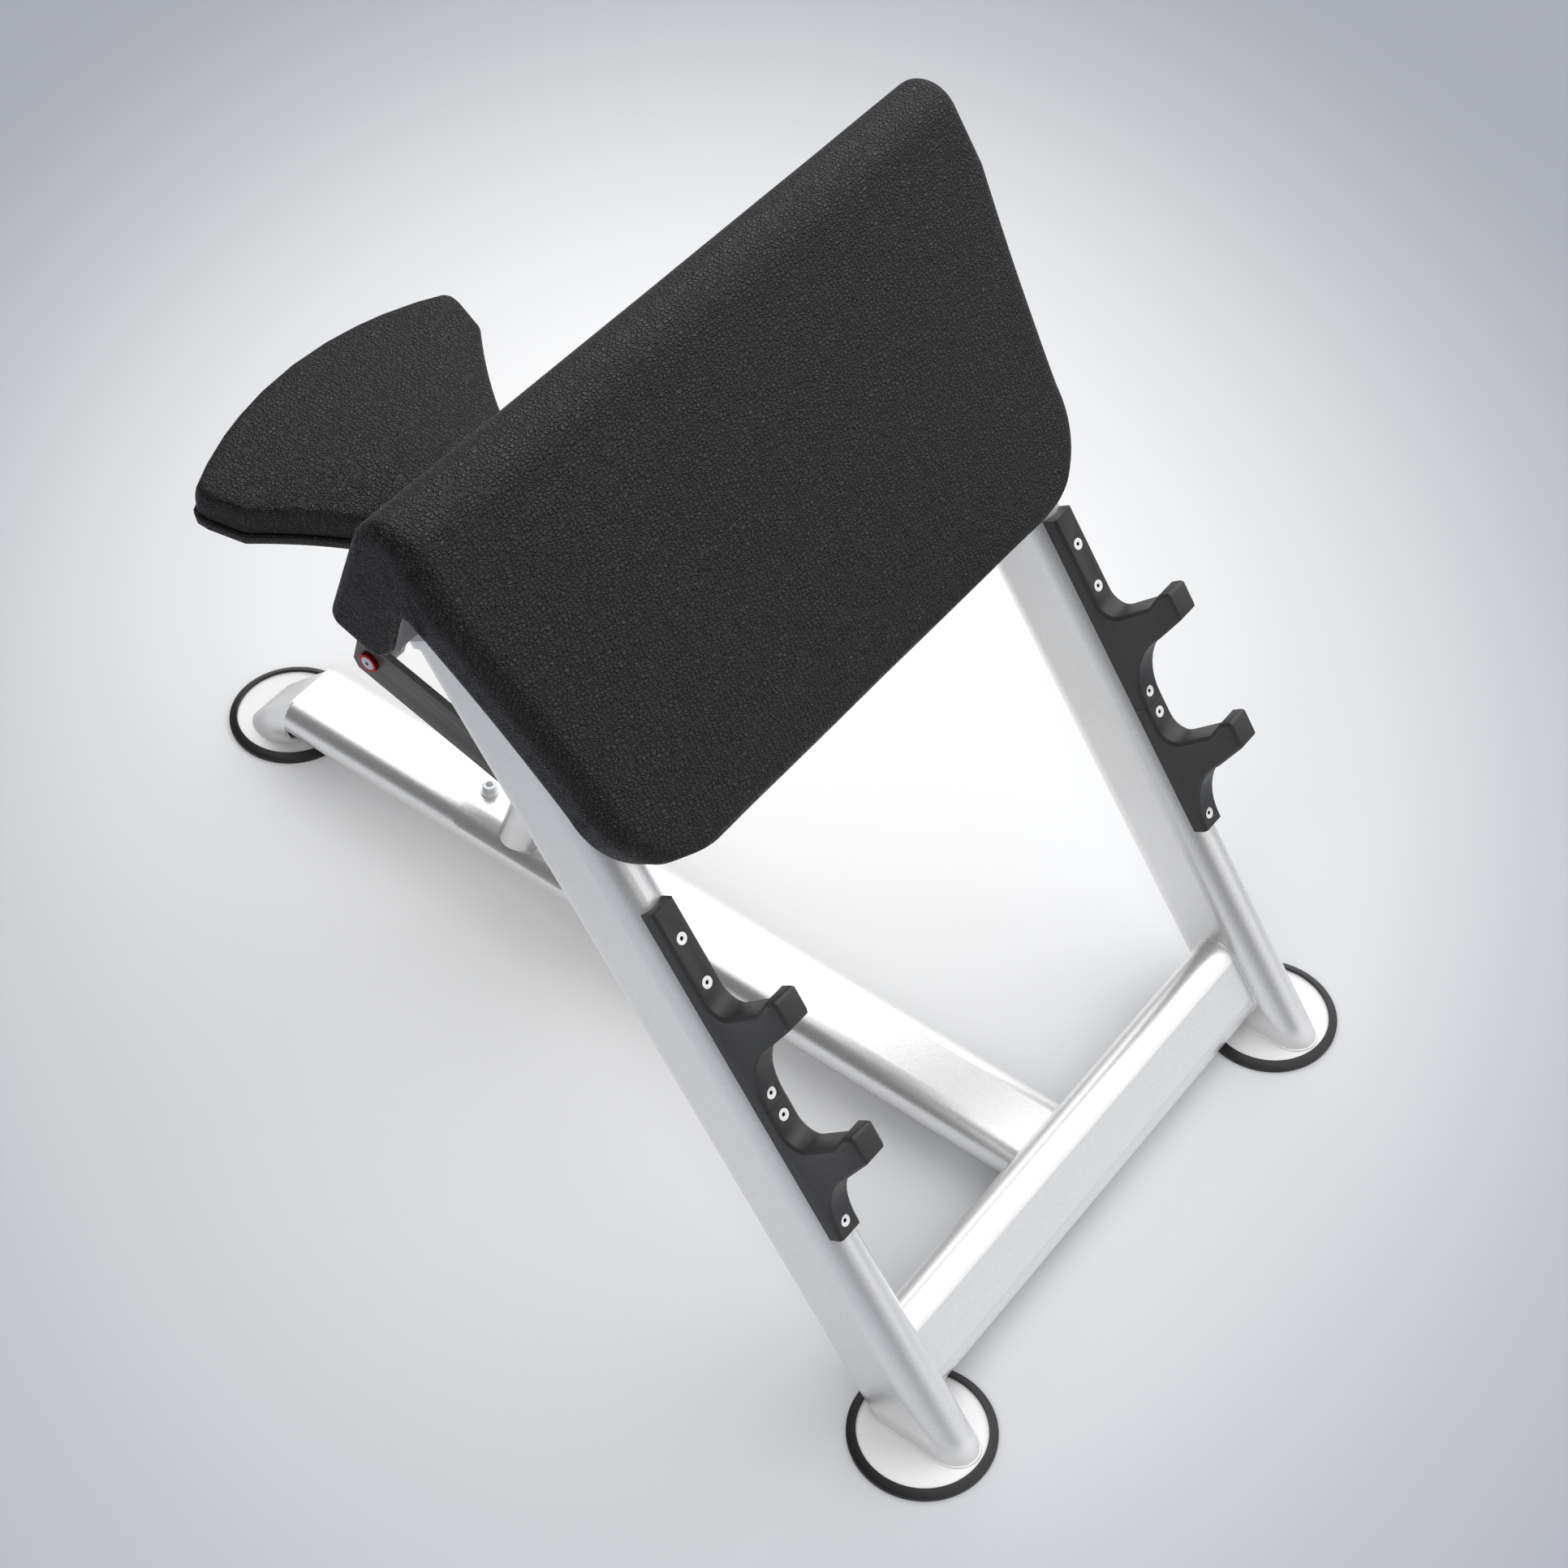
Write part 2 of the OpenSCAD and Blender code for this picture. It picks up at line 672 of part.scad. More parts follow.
module pad_body() {
    front = pad_front_line();
    back = pad_back_line();
    k = len(front);
    m = 2 * k;
    rings = len(pad_across);
    points = [for (st = pad_across) each concat(
        pad_ring(front, st[0], st[1]),
        [for (i = [k - 1 : -1 : 0]) pad_ring(back, st[0], st[1])[i]]
    )];
    last = (rings - 1) * m;
    polyhedron(
        points = points,
        faces = concat(
            [for (r = [0 : rings - 2], i = [0 : m - 1]) each let (j = (i + 1) % m, a = r * m) [
                [a + i, a + j, a + m + j],
                [a + i, a + m + j, a + m + i]
            ]],
            [for (i = [0 : k - 2]) each let (o = m - 1 - i) [
                [i, o, o - 1],
                [i, o - 1, i + 1]
            ]],
            [for (i = [0 : k - 2]) each let (o = m - 1 - i) [
                [last + i, last + o - 1, last + o],
                [last + i, last + i + 1, last + o - 1]
            ]]
        )
    );
}

// The board's solid, with its bare side moved out by proud where it cuts its seat in the pad
module pad_board_body(proud = 0) {
    low = pad_low + pad_board_inset;
    intersection() {
        across(2 * (pad_half - pad_board_inset)) polygon([
            on_panel(low, pad_back_n - proud), under_ridge(pad_t + proud, lip_t + proud),
            on_lip(lip_len - pad_board_inset, lip_t + proud),
            on_lip(lip_len - pad_board_inset, lip_t - pad_board_t),
            under_ridge(pad_t - pad_board_t, lip_t - pad_board_t), on_panel(low, pad_back_n + pad_board_t)
        ]);
        leg_frame() translate([0, 0, -far / 2]) linear_extrude(far) polygon(concat(
            [for (k = [0 : 10]) let (s = pad_low + pad_corner_r * (1 - cos(9 * k)))
                [pad_half_at(s) - pad_board_inset * sin(9 * k), s + pad_board_inset * cos(9 * k)]],
            [[pad_half - pad_board_inset, kink_s], [pad_half - pad_board_inset, far / 2],
                [-pad_half + pad_board_inset, far / 2], [-pad_half + pad_board_inset, kink_s]],
            [for (k = [10 : -1 : 0]) let (s = pad_low + pad_corner_r * (1 - cos(9 * k)))
                [-pad_half_at(s) + pad_board_inset * sin(9 * k), s + pad_board_inset * cos(9 * k)]]
        ));
    }
}

module arm_pad() {
    color("#303030") difference() {
        pad_body();
        pad_board_body(0.05);
    }
}

module arm_pad_board() {
    color("#77777a") difference() {
        pad_board_body();
        for (side = [-1, 1], s = [pad_bolt_low, pad_bolt_high])
            leg_drill(side, s, pad_bolt_d + 2 * hole_gap, leg_n, pad_back_n + pad_board_t + over);
    }
}

pad_washer_t = 2;

module pad_bolt(side, s) {
    head = pad_bolt_d;
    leg_frame() translate([side * leg_x, s, leg_n - tube_w / 2 - pad_washer_t]) {
        difference() {
            translate([0, 0, -head]) cylinder(d = 1.6 * pad_bolt_d, h = head, $fn = fine);
            translate([0, 0, -head - over]) cylinder(d = 0.85 * pad_bolt_d, h = head * 0.6 + over, $fn = 6);
        }
        cylinder(d = pad_bolt_d, h = tube_w + pad_washer_t + seat_gap + pad_board_t - 1, $fn = fine);
    }
}

module pad_washer(side, s) {
    difference() {
        leg_frame() translate([side * leg_x, s, leg_n - tube_w / 2 - pad_washer_t]) difference() {
            cylinder(d = 2.6 * pad_bolt_d, h = 2 * pad_washer_t, $fn = fine);
            translate([0, 0, -over])
                cylinder(d = pad_bolt_d + 2 * hole_gap, h = 4 * pad_washer_t, $fn = fine);
        }
        leg_blank(side, 0);
    }
}

module at_pad_bolts() {
    for ($side = [-1, 1], $s = [pad_bolt_low, pad_bolt_high]) children();
}

module pad_bolts() {
    color("silver") at_pad_bolts() pad_bolt($side, $s);
}

module pad_washers() {
    color("silver") at_pad_bolts() pad_washer($side, $s);
}

// Saddle and post

module rounded_bar(y_from, y_to, z_from, z_to, r, width) {
    across(width) translate([(y_from + y_to) / 2, (z_from + z_to) / 2])
        rounded_rect([y_to - y_from, z_to - z_from], r);
}

module saddle_plate() {
    color("#dedede") difference() {
        intersection() {
            translate([0, saddle_front_y, spine_z]) rotate([-90, 0, 0]) linear_extrude(saddle_len)
                flat_oval(tube_w + 2 * saddle_t, tube_t + 2 * saddle_t);
            rounded_bar(
                saddle_front_y, saddle_front_y + saddle_len, saddle_top_z - saddle_drop,
                saddle_top_z + saddle_drop, saddle_drop / 2, 2 * tube_w
            );
        }
        spine_blank(-0.1, foot_base);
        for (y = saddle_bolt_y) translate([0, y, spine_top_z])
            cylinder(d = bolt_d + 2 * hole_gap, h = 2 * saddle_t + tube_t, center = true, $fn = fine);
    }
}

saddle_washer_t = 2;
saddle_bolt_len = 30;

module saddle_washers() {
    color("silver") for (y = saddle_bolt_y) translate([0, y, saddle_top_z]) difference() {
        cylinder(d = bolt_head_d + 5, h = saddle_washer_t, $fn = fine);
        translate([0, 0, -over])
            cylinder(d = bolt_d + 2 * hole_gap, h = saddle_washer_t + 2 * over, $fn = fine);
    }
}

// Head with a chamfered top edge and a hexagon socket, over a plain shank
module cap_screw(head_d, d, length) {
    socket = 0.8 * d;
    difference() {
        rotate_extrude($fn = fine) polygon([
            [0, -length], [d / 2 - 0.8, -length], [d / 2, -length + 0.8], [d / 2, 0], [head_d / 2, 0],
            [head_d / 2, d - 0.8], [head_d / 2 - 0.8, d], [0, d]
        ]);
        translate([0, 0, d / 2]) cylinder(d = socket / cos(30), h = d, $fn = 6);
    }
}

module saddle_bolts() {
    color("silver") for (y = saddle_bolt_y) translate([0, y, saddle_top_z + saddle_washer_t])
        cap_screw(bolt_head_d, bolt_d, saddle_bolt_len);
}

module post_blank(inset, up) {
    translate([0, post_foot[0], post_foot[1]]) rotate([post_lean, 0, 0])
        translate([0, 0, -tube_t]) linear_extrude(up + tube_t)
            flat_oval(tube_w - 2 * inset, tube_t - 2 * inset);
}

module seat_post() {
    color("#dedede") difference() {
        post_blank(0, post_len);
        post_blank(tube_wall, post_len + over);
        below(saddle_top_z);
        for (p = [front_low, front_high]) bar_x(p, -tube_w, tube_w, hub_d + 0.1);
    }
}

// A plug with a domed rim that closes the top of the post
module post_cap() {
    color("#262626") translate([0, post_foot[0], post_foot[1]]) rotate([post_lean, 0, 0])
        translate([0, 0, post_len]) {
            linear_extrude(2) flat_oval(tube_w, tube_t);
            translate([0, 0, 2]) linear_extrude(2) flat_oval(tube_w - 4, tube_t - 4);
            translate([0, 0, -14]) linear_extrude(14)
                flat_oval(tube_w - 2 * tube_wall - 0.4, tube_t - 2 * tube_wall - 0.4);
        }
}

module pivot_tube(at) {
    difference() {
        bar_x(at, -hub_half, hub_half, hub_d);
        bar_x(at, -tube_w, tube_w, bush_d);
    }
}

// Two short tubes that stand out from the carriage plates' inner faces
module pivot_bosses(at) {
    difference() {
        pivot_tube(at);
        bar_x(at, -carriage_gap / 2, carriage_gap / 2, hub_d + over);
    }
}

module post_lower_tube() {
    color("#dedede") pivot_tube(front_low);
}

module post_upper_tube() {
    color("#dedede") pivot_tube(front_high);
}

bush_len = 20;

// One flanged bush in each end of a pivot tube
module bush_pair(at) {
    for (side = [-1, 1]) translate([0, at[0], at[1]]) rotate([0, side * 90, 0]) difference() {
        union() {
            translate([0, 0, hub_half - bush_len]) cylinder(d = bush_d, h = bush_len, $fn = fine);
            translate([0, 0, hub_half]) cylinder(d = hub_d - 4, h = bush_flange, $fn = fine);
        }
        cylinder(d = pin_d + 2 * run_gap, h = tube_w, $fn = fine);
    }
}

module post_bushes() {
    color("#1c1c1c") {
        bush_pair(front_low);
        bush_pair(front_high);
    }
}

// Links

module link_outline() {
    c = link_chamfer;
    w = link_w / 2;
    polygon([
        [-link_end, -w + c], [-link_end + c, -w],
        [link_len + link_end - c, -w], [link_len + link_end, -w + c],
        [link_len + link_end, w - c], [link_len + link_end - c, w],
        [-link_end + c, w], [-link_end, w - c]
    ]);
}

module link_plate(side, at) {
    color("#4e4e4e") difference() {
        translate([side * (link_in + link_t / 2), at[0], at[1]]) rotate([link_angle, 0, 0])
            across(link_t) link_outline();
        for (k = [0, 1]) bar_x(at + k * link_len * link_dir, -tube_w, tube_w, pin_d + 2 * run_gap);
    }
}

module link_pins(at) {
    color("silver") for (k = [0, 1]) bar_x(at + k * link_len * link_dir, -link_out, link_out, pin_d);
}

module at_caps(at) {
    for (k = [0, 1], side = [-1, 1]) let (p = at + k * link_len * link_dir)
        translate([side * link_out, p[0], p[1]]) rotate([0, side * 90, 0]) children();
}

module cap_rings(at) {
    e = cap_ring_w / 3;
    r = cap_d / 2;
    q = r - cap_ring_w;
    color("#c8322f") at_caps(at) rotate_extrude($fn = 64) polygon([
        [q, 0], [r, 0], [r, cap_h - e], [r - 0.3 * e, cap_h - 0.3 * e], [r - e, cap_h],
        [q + 0.5 * e, cap_h], [q, cap_h - 0.5 * e]
    ]);
}

module cap_discs(at) {
    color("#b9bcc2") at_caps(at) difference() {
        rotate_extrude($fn = 64) polygon([
            [0, 0], [cap_d / 2 - cap_ring_w, 0], [cap_d / 2 - cap_ring_w, cap_h - 0.8],
            [cap_d / 2 - cap_ring_w - 0.6, cap_h - 0.2], [0, cap_h - 0.2]
        ]);
        translate([0, 0, cap_h - 2]) cylinder(d = 5, h = 3, $fn = 6);
    }
}

// Gas spring

module eye(at, d, hole, width) {
    difference() {
        bar_x(at, -width / 2, width / 2, d);
        bar_x(at, -width, width, hole);
    }
}

// Turns a shape that stands along Z at the origin to lie along the gas spring
module along_spring() {
    translate([0, spring_foot[0], spring_foot[1]])
        rotate([atan2(spring_dir[1], spring_dir[0]) - 90, 0, 0]) children();
}

spring_ear_t = 5;
spring_eye_r = 10;
spring_neck = 12;
spring_body_len = 112;
spring_rod_len = 140;
spring_bore_d = spring_d - 5;
// Closed length at the cylinder's foot, and length of its gland at the head
spring_foot_cap = 3;
spring_gland = 10;

module spring_bracket() {
    reach = spring_back - tube_t / 2;
    color("#4e4e4e") for (side = [-1, 1]) difference() {
        translate([side * (spring_ear_w / 2 + seat_gap + spring_ear_t / 2), 0, 0]) {
            translate([0, spring_foot[0], spring_foot[1]]) rotate([post_lean, 0, 0]) across(spring_ear_t) {
                circle(spring_eye_r, $fn = fine);
                translate([-reach, -spring_eye_r]) square([reach, 2 * spring_eye_r]);
            }
        }
        bar_x(spring_foot, -tube_w, tube_w, spring_pin_d + 2 * run_gap);
    }
}

// Thickness of a small pin's heads, and the gap under them
pin_head_t = 3;
pin_head_gap = 0.3;

// A pin with a head at each end, round a pack of plates that reaches half to each side
module small_pin(at, half, d) {
    out = half + pin_head_gap + pin_head_t;
    bar_x(at, -out, out, d);
    for (side = [-1, 1]) bar_x(at, side * (out - pin_head_t / 2) - pin_head_t / 2,
        side * (out - pin_head_t / 2) + pin_head_t / 2, d + 4);
}

module spring_lower_pin() {
    color("silver") small_pin(spring_foot, spring_ear_w / 2 + seat_gap + spring_ear_t, spring_pin_d);
}

module spring_cylinder() {
    chamber = spring_body_len - spring_gland;
    color("#1e1e1e") {
        eye(spring_foot, 2 * spring_eye_r, spring_pin_d + 2 * run_gap, spring_ear_w);
        difference() {
            along_spring() difference() {
                union() {
                    cylinder(d = spring_ear_w - 2, h = spring_neck, $fn = fine);
                    translate([0, 0, spring_neck]) cylinder(d = spring_d, h = spring_body_len, $fn = fine);
                }
                translate([0, 0, spring_neck + spring_foot_cap])
                    cylinder(d = spring_bore_d, h = chamber - spring_foot_cap, $fn = fine);
                translate([0, 0, spring_neck + chamber - over])
                    cylinder(d = spring_rod_d + 2 * run_gap, h = 2 * spring_gland, $fn = fine);
            }
            bar_x(spring_foot, -tube_w, tube_w, 2 * spring_eye_r);
        }
    }
}

rod_eye_d = spring_pin_d + 2 * spring_play + 6;

module spring_rod() {
    color("silver") {
        eye(spring_head, rod_eye_d, spring_pin_d + 2 * spring_play, carriage_gap - over);
        difference() {
            along_spring() {
                translate([0, 0, spring_span - spring_rod_len])
                    cylinder(d = spring_rod_d, h = spring_rod_len, $fn = fine);
                translate([0, 0, spring_span - spring_rod_len])
                    cylinder(d = spring_bore_d - 2 * run_gap, h = 8, $fn = fine);
            }
            bar_x(spring_head, -tube_w, tube_w, rod_eye_d);
        }
    }
}

// Carriage

module seat_frame() {
    translate([0, seat_y, seat_z]) rotate([seat_tilt, 0, 0]) children();
}

seat_up = [-sin(seat_tilt), cos(seat_tilt)];
seat_back = [cos(seat_tilt), sin(seat_tilt)];
seat_corner = [seat_y, seat_z];
seat_under = seat_total_t + seat_plate_t;
carriage_len = (-seat_under - (rear_low - seat_corner) * seat_up) / (post_dir * seat_up);
carriage_head_v = (rear_low + carriage_len * post_dir - seat_corner) * seat_back;
carriage_x = carriage_gap / 2 + carriage_t / 2;

module carriage_plates() {
    color("#c4c4c6") for (side = [-1, 1]) difference() {
        translate([side * carriage_x, rear_low[0], rear_low[1]]) rotate([post_lean, 0, 0])
            across(carriage_t) difference() {
                polygon([
                    [-hub_d / 2, 0], [hub_d / 2, 0], [hub_d / 2, hub_d / 2], [carriage_w / 2, carriage_w],
                    [carriage_w / 2, carriage_len + carriage_w], [-carriage_w / 2, carriage_len + carriage_w],
                    [-carriage_w / 2, carriage_w], [-hub_d / 2, hub_d / 2]
                ]);
                translate([0, pivot_gap / 2 - bush_len / 2]) circle(d = bush_d, $fn = fine);
            }
        seat_frame() translate([-far / 2, -far / 2, -seat_under]) cube(far);
        for (p = [rear_low, rear_high]) bar_x(p, -tube_w, tube_w, hub_d + 0.1);
        bar_x(spring_head, -tube_w, tube_w, spring_pin_d + 2 * run_gap);
        bar_x(lever_pivot, -tube_w, tube_w, lever_pin_d + 2 * run_gap);
    }
}

module carriage_lower_tube() {
    color("#c4c4c6") pivot_bosses(rear_low);
}

module carriage_upper_tube() {
    color("#c4c4c6") pivot_bosses(rear_high);
}

module carriage_bushes() {
    color("#1c1c1c") {
        bush_pair(rear_low);
        bush_pair(rear_high);
    }
}

module spring_upper_pin() {
    color("silver") small_pin(spring_head, carriage_x + carriage_t / 2, spring_pin_d);
}

seat_bolt_w = 76;
seat_bolt_l = 110;
seat_plate_v = carriage_head_v + 8;

module at_seat_bolts() {
    seat_frame() for (i = [-1, 1], j = [-1, 1])
        translate([i * seat_bolt_w / 2, seat_plate_v + j * seat_bolt_l / 2, -seat_under]) children();
}

module seat_plate() {
    color("#c4c4c6") difference() {
        seat_frame() translate([0, seat_plate_v, -seat_under]) linear_extrude(seat_plate_t)
            rounded_rect([seat_plate_w, seat_plate_l], 12);
        at_seat_bolts() translate([0, 0, -over])
            cylinder(d = pad_bolt_d + 2 * hole_gap, h = seat_plate_t + 2 * over, $fn = fine);
    }
}

module seat_bolts() {
    color("silver") at_seat_bolts() rotate([180, 0, 0])
        cap_screw(1.6 * pad_bolt_d, pad_bolt_d, seat_plate_t + seat_board_t - 2);
}

// Seat

seat_nose_r = 45;
// Length of the nose before the sides flare out
seat_nose_len = 55;
// How far the sides stand in from the rear corners, where they stop flaring
seat_side_in = 13;
// Length of a rear corner; also the depth of the curve along the rear edge
seat_corner_len = 47;
// How far a corner's rounding takes up its three points, along and across
seat_corner_r = 5;

// Half of the seat's outline from the nose to the rear, on the right
function seat_half_line() =
    let (
        half = seat_w / 2,
        nose = seat_nose_w / 2,
        flare_from = -seat_front + seat_nose_len,
        side = half - seat_side_in,
        corner_v = seat_rear - seat_corner_len,
        r = seat_corner_r,
        rear_r = (pow(half, 2) + pow(seat_corner_len, 2)) / (2 * seat_corner_len)
    )
    concat(
        [[0, -seat_front]],
        arc([nose - seat_nose_r, -seat_front + seat_nose_r], seat_nose_r, -90, 0, 4),
        [for (u = [0 : 1 / 6 : 1.01]) [nose + (side - nose) * pow(u, 1.5), flare_from * (1 - u)]],
        [[half - 0.2 * r, corner_v - 4 * r], [half, corner_v - 1.4 * r], [half - r, corner_v + 0.4 * r]],
        [for (x = [0.82, 0.62, 0.46, 0.25] * half)
            [x, seat_rear - rear_r + sqrt(rear_r * rear_r - x * x)]],
        [[0, seat_rear]]
    );

function seat_line() =
    let (h = seat_half_line(), n = len(h))
    concat(h, [for (i = [n - 2 : -1 : 1]) [-h[i][0], h[i][1]]]);

// Moves a closed outline inwards by d
function inset_loop(pts, d) = [
    for (i = [0 : len(pts) - 1])
        let (
            n = len(pts),
            a = unit(pts[i] - pts[(i + n - 1) % n]),
            b = unit(pts[(i + 1) % n] - pts[i])
        )
        pts[i] + d * [-a[1] - b[1], a[0] + b[0]] / (1 + a * b)
];

// A soft slab with that outline; levels are [height, inset, share of the outline's size]
module seat_loft(levels) {
    line = seat_line();
    centre = [0, -seat_front / 4];
    n = len(line);
    last = len(levels) - 1;
    rings = [
        for (l = levels) let (ring = inset_loop(line, l[1]))
            each [for (p = ring) concat(centre + l[2] * (p - centre), [l[0]])]
    ];
    low_centre = len(rings);
    polyhedron(
        points = concat(rings, [concat(centre, [levels[0][0]]), concat(centre, [levels[last][0]])]),
        faces = concat(
            [for (i = [0 : n - 1]) [low_centre, i, (i + 1) % n]],
            [for (k = [0 : last - 1], i = [0 : n - 1]) each let (j = (i + 1) % n, a = k * n) [
                [a + i, a + n + i, a + n + j],
                [a + i, a + n + j, a + j]
            ]],
            [for (i = [0 : n - 1]) [low_centre + 1, last * n + (i + 1) % n, last * n + i]]
        )
    );
}

module seat_cushion() {
    t = seat_pad_t;
    c = seat_crown;
    color("#303030") seat_frame() seat_loft([
        [-t + 0.1, 4, 1], [-t + 2, 1.2, 1], [-t + 6, 0, 1], [-t / 2, -1, 1], [-8, 0, 1], [-3, 2, 1],
        [-0.8, 5.5, 1], [0, 10, 1],
        [0.35 * c, 10, 0.85], [0.7 * c, 10, 0.62], [0.93 * c, 10, 0.35], [c, 10, 0.08]
    ]);
}

module seat_board() {
    t = seat_pad_t;
    b = seat_board_t;
    color("#2b2b2b") difference() {
        seat_frame() seat_loft([
            [-t - b, 6, 1], [-t - b + 1, 2.5, 1], [-t - b + 4, 0, 1],
            [-t - 3, -1, 1], [-t - 1, 0.5, 1], [-t, 4, 1]
        ]);
        at_seat_bolts() translate([0, 0, -over])
            cylinder(d = pad_bolt_d + 2 * hole_gap, h = seat_plate_t + seat_board_t - 1, $fn = fine);
    }
}

// Release lever

lever_pin_d = 8;
lever_t = 10;
lever_boss_d = 22;
lever_bar_d = 12;
// Direction of the lever's arm, forward and a little upward
lever_angle = 172;
lever_dir = [cos(lever_angle), sin(lever_angle)];
lever_tip = lever_pivot + lever_len * lever_dir;

module lever_pin() {
    color("silver") small_pin(lever_pivot, carriage_x + carriage_t / 2, lever_pin_d);
}

module release_lever() {
    color("#4e4e4e") {
        difference() {
            union() {
                translate([0, lever_pivot[0], lever_pivot[1]]) rotate([lever_angle, 0, 0]) across(lever_t) {
                    translate([0, -lever_boss_d / 4]) square([lever_len, lever_boss_d / 2]);
                    translate([lever_len, 0]) circle(d = lever_boss_d, $fn = fine);
                }
                bar_x(lever_pivot, (over - carriage_gap) / 2, (carriage_gap - over) / 2, lever_boss_d);
            }
            bar_x(lever_pivot, -tube_w, tube_w, lever_pin_d + 2 * run_gap);
        }
        bar_x(lever_tip, 0, lever_bar, lever_bar_d);
    }
}

grip_len = 80;

module lever_grip() {
    color("#262626") difference() {
        translate([lever_bar - grip_len, lever_tip[0], lever_tip[1]]) rotate([0, 90, 0])
            rotate_extrude($fn = fine) polygon([
                [0, 0], [grip_d / 2 - 2, 0], [grip_d / 2, 2], [grip_d / 2, 8],
                [grip_d / 2 - 1.5, grip_len / 2],
                [grip_d / 2, grip_len - 8], [grip_d / 2, grip_len + 1], [grip_d / 2 - 3, grip_len + 4],
                [0, grip_len + 4]
            ]);
        bar_x(lever_tip, 0, lever_bar, lever_bar_d);
    }
}

bench() foot_ring(-front_foot_x, 0);  // foot_ring_left
bench() foot_ring(front_foot_x, 0);  // foot_ring_right
bench() foot_ring(0, foot_base);  // foot_ring_rear
bench() foot_plate(-front_foot_x, 0);  // foot_plate_left
bench() foot_plate(front_foot_x, 0);  // foot_plate_right
bench() foot_plate(0, foot_base);  // foot_plate_rear
bench() leg(side_left);  // leg_left
bench() leg(side_right);  // leg_right
bench() front_crossbar();
bench() base_spine();
bench() rear_stub();
bench() leg_top_plate(side_left);  // leg_top_plate_left
bench() leg_top_plate(side_right);  // leg_top_plate_right
bench() upper_catch(side_left);  // upper_catch_left
bench() lower_catch(side_left);  // lower_catch_left
bench() upper_catch(side_right);  // upper_catch_right
bench() lower_catch(side_right);  // lower_catch_right
bench() screws_of_leg(side_left);  // catch_screws_left
bench() screws_of_leg(side_right);  // catch_screws_right
bench() arm_pad();
bench() arm_pad_board();
bench() pad_bolts();
bench() pad_washers();
bench() saddle_plate();
bench() saddle_bolts();
bench() saddle_washers();
bench() seat_post();
bench() post_cap();
bench() post_lower_tube();
bench() post_upper_tube();
bench() post_bushes();
bench() spring_bracket();
bench() spring_lower_pin();
bench() link_plate(side_left, front_low);  // lower_link_left
bench() link_plate(side_right, front_low);  // lower_link_right
bench() link_pins(front_low);  // lower_link_pins
bench() cap_rings(front_low);  // lower_cap_rings
bench() cap_discs(front_low);  // lower_cap_discs
bench() link_plate(side_left, front_high);  // upper_link_left
bench() link_plate(side_right, front_high);  // upper_link_right
bench() link_pins(front_high);  // upper_link_pins
bench() cap_rings(front_high);  // upper_cap_rings
bench() cap_discs(front_high);  // upper_cap_discs
bench() carriage_plates();
bench() carriage_lower_tube();
bench() carriage_upper_tube();
bench() carriage_bushes();
bench() spring_upper_pin();
bench() seat_plate();
bench() seat_bolts();
bench() seat_board();
bench() seat_cushion();
bench() spring_cylinder();
bench() spring_rod();
bench() lever_pin();
bench() release_lever();
bench() lever_grip();
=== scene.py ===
"""Preacher curl bench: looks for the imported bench.

Powder-coated frame, pebbled vinyl pads, bar catches and the seat's linkage."""
import json
import math
from functools import partial

import bmesh
import bpy
import numpy as np
from bpy.props import FloatProperty, FloatVectorProperty, IntProperty, PointerProperty
from mathutils import Matrix, Vector


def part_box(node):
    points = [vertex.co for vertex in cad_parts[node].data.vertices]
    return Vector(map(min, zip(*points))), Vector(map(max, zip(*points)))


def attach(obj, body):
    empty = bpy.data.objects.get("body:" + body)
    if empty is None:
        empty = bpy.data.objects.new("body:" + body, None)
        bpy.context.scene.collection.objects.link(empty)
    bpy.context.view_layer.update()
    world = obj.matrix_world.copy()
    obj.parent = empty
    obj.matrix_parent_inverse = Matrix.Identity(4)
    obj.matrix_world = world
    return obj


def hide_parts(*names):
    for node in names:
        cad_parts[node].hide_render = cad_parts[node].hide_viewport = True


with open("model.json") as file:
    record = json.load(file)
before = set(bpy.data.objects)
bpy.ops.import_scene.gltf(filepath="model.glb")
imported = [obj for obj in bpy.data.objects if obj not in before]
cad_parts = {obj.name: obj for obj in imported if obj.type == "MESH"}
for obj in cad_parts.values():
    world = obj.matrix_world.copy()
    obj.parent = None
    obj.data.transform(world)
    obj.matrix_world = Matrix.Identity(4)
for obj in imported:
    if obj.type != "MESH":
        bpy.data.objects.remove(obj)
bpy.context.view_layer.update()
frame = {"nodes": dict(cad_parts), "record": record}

bl_info = {
    "name": "Preacher curl bench",
    "version": (1, 0, 0),
    "blender": (4, 5, 0),
    "location": "View3D > Sidebar > Bench",
    "description": "Dresses the packed preacher curl bench in powder coat, vinyl, rubber and plated steel",
    "category": "Object",
}

# From the front feet line, where the sizes below are taken, to the bench's mid length
MID_LENGTH = 0.568
SLOT_OF = {part["node"]: part["material_slot"] for part in frame["record"]["subparts"]}
# Points closer than this are one point
SAME_POINT = 1e-6

# Node kinds that come up most
MATH, VECTOR_MATH, MAP_RANGE = "ShaderNodeMath", "ShaderNodeVectorMath", "ShaderNodeMapRange"
MIX, NOISE, BUMP = "ShaderNodeMix", "ShaderNodeTexNoise", "ShaderNodeBump"


def linear(hex_code):
    """An sRGB hex colour as linear RGBA."""
    raw = [int(hex_code[i : i + 2], 16) / 255 for i in (1, 3, 5)]
    return (*[c / 12.92 if c <= 0.04045 else ((c + 0.055) / 1.055) ** 2.4 for c in raw], 1.0)


def size(name, default, description, low=0.0, high=2.0):
    return FloatProperty(name=name, description=description, default=default, min=low, max=high,
        precision=4, unit="LENGTH")


def angle(name, degrees, description):
    return FloatProperty(name=name, description=description, default=math.radians(degrees), min=0.0,
        max=math.pi, subtype="ANGLE")


